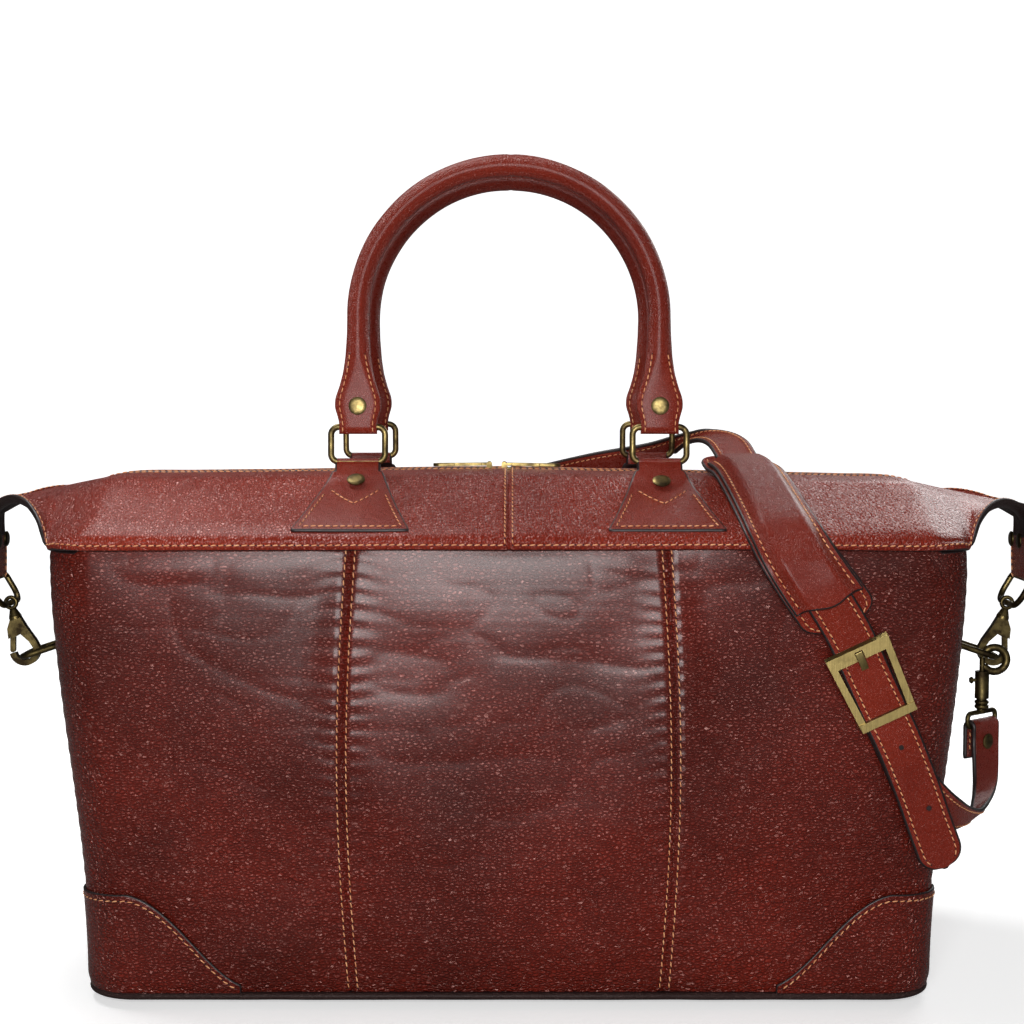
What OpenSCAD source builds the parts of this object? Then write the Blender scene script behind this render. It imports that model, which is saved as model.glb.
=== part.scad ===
// Leather weekender bag: soft panels, a two-way zip, rolled handles on oval rings,
// clipped-down wings, and a shoulder strap with a pad, a buckle and two bolt snaps.
// Origin: on the ground under the middle of the base. +X right, +Y back, +Z up.

/* [Bag body] */
// Width across the front at the hem
top_w = 560; // [540:1:580]
// Width across the front above the base
base_w = 517; // [500:1:535]
// Depth from front to back
body_d = 240; // [228:1:252]
// Height of the hem seam above the ground
hem_z = 280; // [272:1:290]
// Height of the zip ridge above the hem
ridge_rise = 43; // [38:1:48]
// Radius of the upright corners
corner_r = 30; // [24:1:36]
// Thickness of a body panel with its lining
panel_t = 3; // [2:0.5:4]
// Forward bulge of the full front and rear panels
belly_d = 7; // [0:1:12]
// How far the gussets are tucked in below the wings
tuck_d = 16; // [4:1:22]
// Half width of the centre panel at its seams
seam_half = 94; // [80:1:110]

/* [Base] */
// Height of the feet
foot_h = 5; // [4:0.5:8]
// Radius of a foot
foot_r = 8; // [6:0.5:10]
// Diameter of the piping round the base
piping_d = 4.5; // [3:0.5:6]
// Thickness of the stiff board on the base
board_t = 3; // [2:0.5:5]

/* [Yoke and zip] */
// Thickness of the yoke leather
yoke_t = 2.2; // [1.5:0.1:3]
// Half width of the gap in which the zip runs
zip_gap = 7.5; // [7:0.5:9]
// Length of the straight run of the zip on each side of the middle
zip_run = 230; // [215:1:240]
// Fall of the left half of the zip, in degrees
zip_fall_left = 0.7; // [0:0.1:2]
// Fall of the right half of the zip, in degrees
zip_fall_right = 1.2; // [0:0.1:2]
// Distance between zip teeth
tooth_pitch = 3.2; // [2.8:0.1:4]
// Length of a zip slider
slider_l = 15; // [13:0.5:18]
// Length of a zip pull from its pivot
pull_l = 37; // [28:1:40]

/* [Handles] */
// Half of the distance between a handle's two rings
handle_half = 95; // [85:1:105]
// Distance of each handle's rings from the middle plane
ring_y = 53; // [48:1:58]
// Height of the middle of the rings above the hem
ring_rise = 59.5; // [57:0.5:64]
// Height of the middle of the grip above the rings
grip_rise = 176; // [160:1:190]
// Radius of the rolled grip
grip_r = 7; // [6:0.5:9]
// Inward lean of the handles, in degrees
handle_lean = 4; // [0:1:8]
// Outer width of a ring
ring_w = 38; // [36:0.5:42]
// Outer height of a ring
ring_h = 26; // [24:0.5:30]
// Wire diameter of every ring
wire_d = 4; // [3:0.5:4.5]
// Width of the foot of a handle patch
patch_w = 69; // [60:1:80]
// Width of the straps that hold the rings
tab_w = 26; // [22:0.5:26]
// Radius of a rivet's cap
rivet_r = 5.6; // [4.5:0.1:6.5]

/* [Wings and side rings] */
// How far a wing stands out beyond the hem
wing_out = 60; // [54:1:66]
// Width of the wing's tab
wing_w = 42; // [36:1:46]
// Length of a trigger snap
trigger_l = 43; // [42:1:48]

/* [Strap] */
// Width of the shoulder strap
strap_w = 25; // [22:1:26]
// Thickness of the shoulder strap
strap_t = 3; // [2:0.5:3.5]
// Width of the shoulder pad
pad_w = 42; // [38:1:50]
// Distance between the strap's holes
hole_pitch = 42; // [36:1:46]

/* [Hidden] */

leather = "#7a3429";
glossy = "#a56a5f";
edge = "#2a1613";
brass = "#8a7748";
gold = "#b08d45";
$fn = 48;
eps = 0.01;
seat = 0.3;                             // clearance between a piece and its seat

// ---- grids, skins and strips -------------------------------------------------

function unit(v) = v / norm(v);
function mix(a, b, t) = a + (b - a) * t;
function clamp01(t) = min(1, max(0, t));
// A step that starts and ends gently
function ease(t) = (1 - cos(180 * clamp01(t))) / 2;

// Outward normal of a grid of points at row i and column j
function grid_normal(g, i, j) =
    let (ni = len(g) - 1, nj = len(g[0]) - 1,
         along = g[min(ni, i + 1)][j] - g[max(0, i - 1)][j],
         across = g[i][min(nj, j + 1)] - g[i][max(0, j - 1)])
    unit(cross(along, across));

// A sheet of even thickness t whose outer face is the grid g
module skin(g, t) {
    ni = len(g);
    nj = len(g[0]);
    outer = [for (row = g) each row];
    inner = [for (i = [0 : ni - 1]) for (j = [0 : nj - 1]) g[i][j] - t * grid_normal(g, i, j)];
    n = ni * nj;
    function at(i, j) = i * nj + j;
    top = [for (i = [0 : ni - 2]) for (j = [0 : nj - 2])
        each [[at(i, j), at(i, j + 1), at(i + 1, j + 1)], [at(i, j), at(i + 1, j + 1), at(i + 1, j)]]];
    under = [for (f = top) [n + f[2], n + f[1], n + f[0]]];
    rim = concat(
        [for (i = [0 : ni - 1]) at(i, 0)], [for (j = [1 : nj - 1]) at(ni - 1, j)],
        [for (i = [ni - 2 : -1 : 0]) at(i, nj - 1)], [for (j = [nj - 2 : -1 : 1]) at(0, j)]);
    m = len(rim);
    side = [for (k = [0 : m - 1]) let (a = rim[k], b = rim[(k + 1) % m])
        each [[a, b, n + b], [a, n + b, n + a]]];
    polyhedron(concat(outer, inner), concat(top, under, side), convexity = 8);
}

// Points of an arc in a plane, from angle a0 to a1 about c
function arc(c, r, a0, a1, n = 8) = [for (i = [0 : n]) let (a = a0 + (a1 - a0) * i / n)
    c + r * [cos(a), sin(a)]];

// Direction of a flat path at point i
function heading(p, i) = unit(p[min(len(p) - 1, i + 1)] - p[max(0, i - 1)]);

// A band of width t centred on a flat path
module stroke(p, t) {
    side = [for (i = [0 : len(p) - 1]) let (d = heading(p, i)) [-d[1], d[0]] * t / 2];
    polygon(concat([for (i = [0 : len(p) - 1]) p[i] + side[i]],
        [for (i = [len(p) - 1 : -1 : 0]) p[i] - side[i]]));
}

// Puts a drawing of (x, z) or (y, z) upright, centred on the plane it is drawn in
module in_xz(w) rotate([90, 0, 0]) linear_extrude(w, center = true) children();
module in_yz(w) rotate([90, 0, 90]) linear_extrude(w, center = true) children();

// Copies a piece to the other side of a middle plane
module both_sides() { children(); mirror([1, 0, 0]) children(); }
module both_faces() { children(); mirror([0, 1, 0]) children(); }

// A closed loop of round wire d, w by h over its centre line, with corners of radius r,
// or far_r at its far end on the +x side
module wire_loop(w, h, r, d, far_r = 0) {
    function rad(sx) = sx > 0 && far_r > 0 ? far_r : r;
    for (sx = [-1, 1]) for (sy = [-1, 1])
        translate([sx * (w / 2 - rad(sx)), sy * (h / 2 - rad(sx)), 0])
            rotate([0, 0, sx > 0 ? (sy > 0 ? 0 : 270) : (sy > 0 ? 90 : 180)])
                rotate_extrude(angle = 90) translate([rad(sx), 0]) circle(d / 2, $fn = 16);
    for (sy = [-1, 1]) translate([-w / 2 + r, sy * h / 2, 0]) rotate([0, 90, 0])
        cylinder(d = d, h = w - r - rad(1), $fn = 16);
    for (sx = [-1, 1]) translate([sx * w / 2, h / 2 - rad(sx), 0]) rotate([90, 0, 0])
        cylinder(d = d, h = h - 2 * rad(sx), $fn = 16);
}

// A low domed rivet cap on a flat face, its axis along +Z
module rivet_cap(r, h = 1.6) {
    rotate_extrude($fn = 32) polygon([[0, 0], [r, 0], [r, h * 0.5], [r * 0.8, h * 0.9], [0, h]]);
}

// ---- form of the body --------------------------------------------------------

half_d = body_d / 2;
wall_z = foot_h + piping_d;             // bottom edge of the walls
ridge_z = hem_z + ridge_rise;
hem_lap = 3;                            // height of the yoke's upright edge over the hem

function half_w(z) = mix(base_w / 2, top_w / 2, ease((z - wall_z) / (hem_z - wall_z)));
function seam_x(z) = seam_half + 6 * sin(180 * clamp01((z - wall_z) / (hem_z - wall_z)));
function belly(q, z) = belly_d * cos(90 * q) * sin(180 * clamp01((z - wall_z) / (hem_z - wall_z)));
function tuck(q, z) = tuck_d * cos(90 * (q - 3)) * ease((z - hem_z * 0.45) / (hem_z * 0.4));

// A point of the outside at height z, moved in by inset. The place q runs from -1 to 1
// along the front, to 2 round the corner and to 4 along the right side.
function wall_pt(q, z, inset = 0) =
    let (k = half_w(z) - corner_r, m = half_d - corner_r, r = corner_r - inset, a = 90 * (q - 1))
    q <= 1 ? [q * k, -m - r - belly(q, z), z]
    : q <= 2 ? [k + r * sin(a), -m - r * cos(a), z]
    : [k + r - tuck(q, z), (q - 3) * m, z];

// The ridge of the yoke at x, which falls to each side of where the sliders meet
zip_meet = -8;
fall_right = tan(zip_fall_right);
fall_left = tan(zip_fall_left);
function fall(x) = abs(x - zip_meet) * (x > zip_meet ? fall_right : fall_left);
function ridge_at(x) = ridge_z - fall(x);

// The yoke's section on the front side, from its hem to the zip, where the ridge is at height r
function yoke_section(r) = [
    [-half_d - yoke_t - seat, hem_z - 2], [-half_d - yoke_t - seat, hem_z + hem_lap],
    [-half_d + 4, hem_z + hem_lap + 6], [-half_d * 0.75, mix(hem_z, r, 0.54)], [-half_d * 0.52, r - 5.5],
    [-half_d * 0.42, r - 1.5], [-half_d * 0.25, r], [-zip_gap, r]];
function yoke_top(x, y) = lookup(-abs(y), yoke_section(ridge_at(x)));

wing_x = top_w / 2 + wing_out;

// ---- base --------------------------------------------------------------------

module base_outline(inset) {
    offset_r = corner_r - inset;
    x = base_w / 2 - corner_r;
    y = half_d - corner_r;
    square([2 * x, 2 * (y + offset_r)], center = true);
    square([2 * (x + offset_r), 2 * y], center = true);
    for (sx = [-1, 1]) for (sy = [-1, 1]) translate([sx * x, sy * y]) circle(offset_r);
}

module base_panel() {
    color(leather) translate([0, 0, foot_h + piping_d / 2 - panel_t / 2])
        linear_extrude(panel_t) base_outline(piping_d - 1);
}

board_z = foot_h + piping_d / 2 + panel_t / 2;
module base_board() {
    color("#3a2a22") translate([0, 0, board_z]) linear_extrude(board_t) base_outline(panel_t + piping_d);
}

module base_piping() {
    inset = piping_d / 2 - 1;
    color(edge) translate([0, 0, foot_h + piping_d / 2])
        wire_loop(base_w - 2 * inset, body_d - 2 * inset, corner_r - inset, piping_d);
}

foot_in = 42;                           // distance of the corner feet from the edges
module foot() {
    h = foot_h + piping_d / 2 - panel_t / 2;
    rotate_extrude() polygon([[0, 0], [foot_r * 0.55, 0], [foot_r * 0.85, h * 0.3],
        [foot_r, h * 0.65], [foot_r, h], [0, h]]);
}
module base_feet() {
    color(brass) {
        foot();
        both_sides() both_faces() translate([base_w / 2 - foot_in, half_d - foot_in, 0]) foot();
    }
}

// ---- walls -------------------------------------------------------------------

// Top edge of the walls: under the hem in front, and under the yoke round the sides
function wall_top(q) = hem_z + ridge_rise * lookup(q > 3 ? 6 - q : q, [[1, 0.02], [1.2, -0.12],
    [1.9, -0.1], [2, -0.06], [2.1, 0.13], [2.25, 0.41], [2.5, 0.65], [3, 0.72]]);
function seam_q(z) = seam_x(z) / (half_w(z) - corner_r);

// A wall panel between two edges, each a place q on the front that may follow the seam
module panel(places) {
    rows = 8;
    skin([for (c = places) [for (i = [0 : rows])
        let (z = mix(wall_z, wall_top(max(1, c[1])), i / rows))
        wall_pt(mix(c[0] * seam_q(z), c[1], c[2]), z)]], panel_t);
}
// Each place is [seam side, far edge, share of the way from the seam to the far edge]
centre_places = [for (j = [-3 : 3]) [j / 3 * (1 - seat / seam_half), 0, 0]];
right_places = concat([for (j = [0 : 4]) [1, 1, j / 4]], [for (j = [1 : 5]) [1, 1 + j / 5, 1]]);

module front_panel_centre() { color(leather) panel(centre_places); }
module front_panel_right() { color(leather) panel(right_places); }
module front_panel_left() { mirror([1, 0, 0]) front_panel_right(); }
module rear_panel_centre() { mirror([0, 1, 0]) front_panel_centre(); }
module rear_panel_right() { mirror([0, 1, 0]) front_panel_right(); }
module rear_panel_left() { mirror([0, 1, 0]) front_panel_left(); }

module gusset_right() {
    rows = 9;
    cols = 12;
    color(leather) skin([for (j = [0 : cols]) let (q = mix(2.018, 3.982, j / cols))
        [for (i = [0 : rows]) wall_pt(q, mix(wall_z, wall_top(q), i / rows))]], panel_t);
}
module gusset_left() { mirror([1, 0, 0]) gusset_right(); }

// Corner patches: curved outlines over the lower corners, set on the outside of the walls
patch_t = 1.8;
corner_patch_w = 96;                    // reach of a corner patch along the front
corner_patch_h = 60;                    // its height at the corner
module corner_patch() {
    rows = 5;
    reach = corner_patch_w - corner_r;
    flat = [for (j = [0 : 7]) j / 7];
    function q_at(f) = 1 - reach * (1 - f) / (base_w / 2 - corner_r);
    function top_at(f) = wall_z + 3 + (corner_patch_h - 3) * (0.16 * f + 0.84 * ease(0.12 + 0.88 * f));
    places = concat([for (f = flat) [q_at(f), top_at(f)]],
        [for (j = [1 : 5]) [1 + j / 5, top_at(1) - 2 * sin(9 * j)]]);
    skin([for (p = places) [for (i = [0 : rows])
        wall_pt(p[0], mix(wall_z, p[1], i / rows), -patch_t - seat)]], patch_t);
}
module corner_patches() { color(leather) both_sides() both_faces() corner_patch(); }

// ---- yoke and wings ----------------------------------------------------------

even_x = top_w / 2 - corner_r;          // where the yoke's even run ends
wing_bend = 18;                         // radius of the bend over the wing
wing_low = hem_z - 13;                  // lower end of the yoke's leather on the wing
function ridge_line(r0) = let (x1 = wing_x - wing_bend + wing_bend * cos(78), z1 = r0 - 34 + wing_bend * sin(78))
    concat([for (k = [0 : 4]) [mix(even_x, x1, k / 5), mix(r0, z1, k / 5)]],
        arc([wing_x - wing_bend, r0 - 34], wing_bend, 78, 5, 4), [[wing_x, wing_low]]);

// The free edge of the yoke: round the upright corner, then out and over to the wing
function free_edge(r0) =
    let (r = corner_r + yoke_t + seat, c = [even_x, -half_d + corner_r], z0 = hem_z - 2,
         a = [c[0] + r * sin(64), c[1] - r * cos(64), z0],
         w = [wing_x - 1, -wing_w / 2, r0 - 22], m = [wing_x - 31, -58, r0 + 6])
    concat([for (k = [0 : 2]) [c[0] + r * sin(22 * k), c[1] - r * cos(22 * k), z0]],
        [for (k = [0 : 6]) let (t = k / 6) (1 - t) * (1 - t) * a + 2 * t * (1 - t) * m + t * t * w],
        [[wing_x, -wing_w / 2, wing_low]]);

// A section between the free edge e and the ridge r, its points spread evenly as u nears 1
function end_section(e, r, y, u) = let (s = yoke_section(0), n = len(s) - 1, span = s[n] - s[0])
    [for (j = [0 : n]) let (a = mix((s[j][0] - s[0][0]) / span[0], j / n, u),
                            b = mix((s[j][1] - s[0][1]) / span[1], j / n, u))
        [mix(e[0], r[0], a), mix(e[1], y, a), mix(e[2], r[1], b)]];

module yoke_half(side) {
    cols = 7;
    r0 = ridge_at(side * even_x);
    ridge = ridge_line(r0);
    free = free_edge(r0);
    even = [for (i = [0 : cols - 1]) let (x = even_x * i / cols)
        [for (p = yoke_section(ridge_at(side * x))) [x, p[0], p[1]]]];
    s0 = yoke_section(r0);
    last = [for (k = [0 : len(free) - 1]) let (y = mix(-zip_gap, -0.4, ease(k / 3)))
        k == 0 ? [for (p = s0) [even_x, p[0], p[1]]] : end_section(free[k], ridge[k], y, k / 10)];
    skin(concat(even, last), yoke_t);
}
module yoke_front() { color(glossy) { yoke_half(1); mirror([1, 0, 0]) yoke_half(-1); } }
module yoke_rear() { mirror([0, 1, 0]) yoke_front(); }

// ---- zip ---------------------------------------------------------------------

tape_t = 1;
tape_lap = 6;                           // how far the tapes run under the yoke
tooth_h = 2.4;
tooth_slit = 0.6;                       // from the middle plane to the tips of the teeth
tooth_root = 3.4;
slider_w = 12;

// Places a piece on the sloping run of the zip, its local x running out from the middle
module on_zip(side) {
    translate([zip_meet, 0, ridge_z]) rotate([0, side > 0 ? zip_fall_right : -zip_fall_left, 0])
        mirror([side > 0 ? 0 : 1, 0, 0]) children();
}
module zip_tapes() {
    z = ridge_z - yoke_t - seat - tape_t / 2;
    w = zip_gap + tape_lap - tooth_root;
    color(leather) both_faces() translate([0, tooth_root + w / 2, 0]) in_xz(w)
        stroke([[zip_meet - zip_run, z - fall_left * zip_run], [zip_meet, z],
            [zip_meet + zip_run, z - fall_right * zip_run]], tape_t);
}
// A comb of teeth on a bead along the edge of the tape
module teeth(side, first) {
    bead = 1.2;
    z = -yoke_t - seat - tape_t / 2;
    on_zip(side) {
        translate([0.5, tooth_root - bead, z - bead / 2]) cube([zip_run - 1, bead, bead]);
        for (x = [first + 0.8 : tooth_pitch : zip_run - 2])
            translate([x, tooth_slit, z - tooth_h / 2]) cube([tooth_pitch * 0.55, tooth_root - tooth_slit, tooth_h]);
    }
}
module zip_teeth_rear() { color(gold) { teeth(1, 0); teeth(-1, tooth_pitch / 2); } }
module zip_teeth_front() { color(gold) mirror([0, 1, 0]) { teeth(1, tooth_pitch / 2); teeth(-1, 0); } }

// The slider holds the teeth between two plates that a thin blade joins
zip_mid = -yoke_t - seat - tape_t / 2;  // height of the middle of the teeth under the ridge
plate_gap = tooth_h + 2 * seat;
plate_t = 1.4;
slider_start = 0.4;
bridge_x = slider_start + 4.5;          // where the pull is hinged
pin_r = 0.8;
ear_h = 2.2;                            // height of the pull's pin over the top plate
pull_z = zip_mid + plate_gap / 2 + plate_t + ear_h;
module slider() {
    h = plate_gap / 2;
    for (z = [zip_mid + h, zip_mid - h - plate_t]) translate([0, 0, z]) linear_extrude(plate_t)
        polygon([[slider_start, -slider_w / 2], [slider_start + slider_l * 0.6, -slider_w / 2],
            [slider_start + slider_l, -slider_w * 0.32], [slider_start + slider_l, slider_w * 0.32],
            [slider_start + slider_l * 0.6, slider_w / 2], [slider_start, slider_w / 2]]);
    translate([slider_start, -0.3, zip_mid - h - eps]) cube([6, 0.6, 2 * h + 2 * eps]);
    both_faces() translate([bridge_x, 3.2, zip_mid + h + plate_t - eps]) {
        translate([-1.8, 0, 0]) cube([3.6, 1.4, ear_h]);
        translate([0, 0, ear_h]) rotate([-90, 0, 0]) cylinder(r = 1.8, h = 1.4);
        translate([0, -3.2 - eps, ear_h]) rotate([-90, 0, 0]) cylinder(r = pin_r, h = 4, $fn = 24);
    }
}
module zip_slider(side) { color(brass) on_zip(side) slider(); }
module zip_slider_right() { zip_slider(1); }
module zip_slider_left() { zip_slider(-1); }

// A flat bar with a slot in its end, on a pin between the slider's ears
pull_w = 9;
module pull() {
    translate([bridge_x, 0, pull_z]) difference() {
        union() {
            translate([0, 0, -1]) linear_extrude(2) {
                translate([0, -2.9]) square([6, 5.8]);
                translate([5, -3.4]) square([pull_l - 10, 6.8]);
                translate([pull_l - pull_w / 2, 0]) circle(pull_w / 2);
                translate([pull_l - 14, -pull_w / 2]) square([14 - pull_w / 2, pull_w]);
            }
            rotate([90, 0, 0]) cylinder(r = pin_r + seat + 0.7, h = 5.8, center = true);
        }
        translate([pull_l - pull_w / 2 - 2, 0, -2]) cylinder(r = 1.6, h = 4);
        rotate([90, 0, 0]) cylinder(r = pin_r + seat, h = 8, center = true);
    }
}
module zip_pull(side) { color(brass) on_zip(side) pull(); }
module zip_pull_right() { zip_pull(1); }
module zip_pull_left() { zip_pull(-1); }

// ---- handles -----------------------------------------------------------------

ring_z = hem_z + ring_rise;
ring_low = ring_z - ring_h / 2 + wire_d / 2;    // centre of the ring's lower wire
ring_top = ring_z + ring_h / 2 - wire_d / 2;
loop_in = wire_d / 2 + seat;            // inside radius of every leather loop
loop_t = 2.2;                           // thickness of its leather
loop_r = loop_in + loop_t / 2;

ring_corner = 5;

// Leans a ring or a handle inward about the lower wire of its rings, on the front side
module leaning() {
    translate([0, -ring_y, ring_low]) rotate([-handle_lean, 0, 0]) children();
}
module handle_rings() {
    for (sx = [-1, 1]) leaning() translate([sx * handle_half, 0, ring_z - ring_low]) rotate([90, 0, 0])
        wire_loop(ring_w - wire_d, ring_h - wire_d, ring_corner, wire_d);
}
module front_rings() { color(brass) handle_rings(); }
module rear_rings() { mirror([0, 1, 0]) front_rings(); }

// Heights over the lower wire, along the leaning handle
eye_h = ring_top - ring_low;            // upper wire of the ring, where the handle is hung
flat_h = 22;                            // length of the flat folded end over the wire
grip_h = grip_rise + ring_z - ring_low; // middle of the top of the grip
leg_h = grip_h - handle_half;           // where the arch begins
rivet_h = eye_h + 13;
sleeve_t = 2;
end_w = 30;                             // width of the folded end at its rivet
end_d = 2 * loop_r + loop_t;            // depth of the folded end
module handle_end() {
    translate([0, 0, eye_h]) intersection() {
        in_yz(end_w) stroke(concat([[-loop_r, flat_h]], arc([0, 0], loop_r, 180, 360, 12),
            [[loop_r, flat_h]]), loop_t);
        in_xz(2 * end_d) polygon([[-tab_w / 2 + 1, -10], [tab_w / 2 - 1, -10], [tab_w / 2 - 1, 3],
            [end_w / 2, 12], [end_w / 2, flat_h + 1], [-end_w / 2, flat_h + 1], [-end_w / 2, 12], [-tab_w / 2 + 1, 3]]);
    }
    hull() {
        translate([-end_w / 2, -end_d / 2, eye_h + flat_h]) cube([end_w, end_d, 0.5]);
        translate([0, 0, eye_h + flat_h + 20]) cylinder(r = grip_r, h = 0.5, $fn = 32);
    }
}
module handle() {
    leaning() {
        for (sx = [-1, 1]) translate([sx * handle_half, 0, 0]) {
            handle_end();
            translate([0, 0, eye_h + flat_h + 20]) difference() {
                cylinder(r = grip_r, h = leg_h - eye_h - flat_h - 20);
                translate([0, 0, 0.5]) cylinder(r = grip_r - sleeve_t, h = leg_h);
            }
        }
        translate([0, 0, leg_h]) rotate([90, 0, 0]) rotate_extrude(angle = 180, $fn = 96)
            translate([handle_half, 0]) difference() {
                circle(grip_r);
                circle(grip_r - sleeve_t);
            }
    }
}
module front_handle() { color(leather) handle(); }
module rear_handle() { mirror([0, 1, 0]) front_handle(); }

// The cord inside the grip
module handle_core() {
    r = grip_r - sleeve_t - 0.2;
    z0 = eye_h + flat_h + 21;
    leaning() {
        for (sx = [-1, 1]) translate([sx * handle_half, 0, z0]) cylinder(r = r, h = leg_h - z0);
        translate([0, 0, leg_h]) rotate([90, 0, 0]) rotate_extrude(angle = 180, $fn = 96)
            translate([handle_half, 0]) circle(r);
    }
}
module front_handle_core() { color("#caa77a") handle_core(); }
module rear_handle_core() { mirror([0, 1, 0]) front_handle_core(); }

// A cap on each face of the folded end, and the stem between its layers
module handle_rivets() {
    for (sx = [-1, 1]) leaning() translate([sx * handle_half, 0, rivet_h]) {
        for (a = [90, -90]) rotate([a, 0, 0]) translate([0, 0, end_d / 2]) rivet_cap(rivet_r);
        rotate([90, 0, 0]) cylinder(r = 1.5, h = 2 * loop_in, center = true);
    }
}
module front_handle_rivets() { color(brass) handle_rivets(); }
module rear_handle_rivets() { mirror([0, 1, 0]) front_handle_rivets(); }

// A patch sewn to the yoke's slope, which rises and folds over the ring's lower wire
patch_low = half_d - 3;                 // distance of the patch's foot from the middle plane
module handle_patch(x0) {
    lift = seat + loop_t * 0.6 + 1;
    r = ridge_at(x0);
    foot = [-patch_low, yoke_top(x0, patch_low) + lift];
    mid = [-half_d * 0.75, yoke_top(x0, half_d * 0.75) + lift];
    crest = [-half_d * 0.52 - 1, r - 5.5 + lift + 0.3];
    intersection() {
        translate([x0, 0, 0]) in_yz(patch_w) stroke(concat([foot, mid, crest],
            arc([-ring_y, ring_low], loop_r, 180, 0, 12), [[-ring_y + loop_r, r + lift - 0.6]]), loop_t);
        translate([x0, 0, 0]) in_xz(2 * half_d + 20) polygon([[-patch_w / 2, foot[1] - 3],
            [patch_w / 2, foot[1] - 3], [patch_w * 0.31, crest[1] - 2], [tab_w / 2, ring_low - 4],
            [tab_w / 2, ring_low + 9], [-tab_w / 2, ring_low + 9], [-tab_w / 2, ring_low - 4],
            [-patch_w * 0.31, crest[1] - 2]]);
    }
}
module handle_patches_front() { color(leather) for (sx = [-1, 1]) handle_patch(sx * handle_half); }
module handle_patches_rear() { mirror([0, 1, 0]) handle_patches_front(); }

module patch_rivets() {
    tilt = atan2(ridge_rise - 5.5, half_d * 0.48);
    y = half_d * 0.52 + 7;
    color(brass) both_faces() for (sx = [-1, 1]) let (x = sx * handle_half)
        translate([x, -y, yoke_top(x, y) + seat + loop_t * 1.2 + 2.1]) rotate([tilt, 0, 0]) rivet_cap(rivet_r);
}

// ---- wings and their hardware, all drawn on the right side -------------------

wing_tab_t = 2.5;
wing_loop_r = loop_in + wing_tab_t / 2;
tab_in_x = wing_x - yoke_t - seat - wing_tab_t / 2;     // middle of the tab's inner leg
wing_ring_x = tab_in_x + wing_loop_r;
wing_ring_z = hem_z - 30;               // upper wire of the wing's ring
wing_ring_h = 19.5;                     // height of that ring over its centre line
wing_ring_tilt = 30;                    // how far it hangs inward
wing_tab_top = hem_z - 4;

module wing_tab() {
    in_xz(wing_w - 2) stroke(concat([[tab_in_x, wing_tab_top], [tab_in_x, wing_ring_z + 8]],
        arc([wing_ring_x, wing_ring_z], wing_loop_r, 180, 360, 12),
        [[wing_ring_x + wing_loop_r, wing_low - 1]]), wing_tab_t);
}
module wing_tab_right() { color(edge) wing_tab(); }
module wing_tab_left() { mirror([1, 0, 0]) wing_tab_right(); }

// Two caps inside and outside each wing
module wing_rivets() {
    z = hem_z - 5;
    color(brass) both_sides() for (y = [-1, 1]) translate([0, y * 9, z]) {
        translate([tab_in_x - wing_tab_t / 2, 0, 0]) rotate([0, -90, 0]) rivet_cap(rivet_r - 0.6);
        translate([wing_x + 0.3, 0, 0]) rotate([0, 90, 0]) rivet_cap(rivet_r - 0.6);
    }
}

module in_wing_ring() {
    translate([wing_ring_x, 0, wing_ring_z]) rotate([0, wing_ring_tilt, 0]) children();
}
module wing_ring() {
    w = wing_w + wire_d;
    in_wing_ring() translate([0, 0, -wing_ring_h / 2]) rotate([0, 90, 0]) wire_loop(wing_ring_h, w, 3, wire_d, 9);
}
module wing_ring_right() { color(brass) wing_ring(); }
module wing_ring_left() { mirror([1, 0, 0]) wing_ring_right(); }

// The trigger snap hangs on the wing ring's lower wire and hooks the side ring
trigger_x = wing_ring_x - wing_ring_h * sin(wing_ring_tilt);
trigger_z = wing_ring_z - wing_ring_h * cos(wing_ring_tilt);
trigger_tilt = 16;
hook_r = 10;                            // outer radius of the snap's hook
hook_t = 4;
trigger_t = 6;
hook_z = -(trigger_l - hook_r);         // middle of the hook below the ring's wire
gate_x = 4;                             // pin of the gate
gate_z = -18.5;
gate_t = 3.2;
gate_r = 1.7;
module in_trigger() {
    translate([trigger_x, 0, trigger_z]) rotate([0, trigger_tilt, 0]) children();
}
module trigger_outline() {
    polygon(concat([[-3.6, -11], [3.6, -11], [6.8, -16], [hook_r, hook_z]],
        arc([0, hook_z], hook_r, 0, -180, 16), [[-hook_r + 1, hook_z + 5], [-5.5, -18]]));
}
module trigger_hole() {
    polygon(concat([[-0.5, gate_z - 3], [3, gate_z - 4], [hook_r - hook_t, hook_z]],
        arc([0, hook_z], hook_r - hook_t, 0, -180, 16), [[-hook_r + hook_t + 1.4, hook_z + 5]]));
}
module trigger_snap() {
    in_trigger() {
        // eye round the ring's wire
        rotate([90, 0, 0]) rotate_extrude() translate([wire_d / 2 + seat + 1.3, 0]) circle(1.3, $fn = 16);
        translate([0, 0, -9.4]) cylinder(r1 = 4.2, r2 = 2.2, h = 5);
        translate([0, 0, -11.2]) cylinder(r = 4.2, h = 1.9);
        difference() {
            in_xz(trigger_t) difference() {
                trigger_outline();
                trigger_hole();
                // room for the gate from its fork to the tip of the hook
                polygon([[0, gate_z - 4], [hook_r + 2, gate_z - 4], [hook_r + 2, hook_z + 0.5],
                    [hook_r - hook_t - 1, hook_z + 0.5]]);
            }
            in_xz(gate_t + 2 * seat) translate([gate_x, gate_z]) {
                circle(gate_r + seat);
                translate([-gate_r - seat - 3, -6]) square([2 * (gate_r + seat) + 8, 6]);
            }
        }
        translate([gate_x, 0, gate_z]) rotate([90, 0, 0]) cylinder(r = pin_r, h = trigger_t - 1, center = true, $fn = 24);
    }
}
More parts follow.
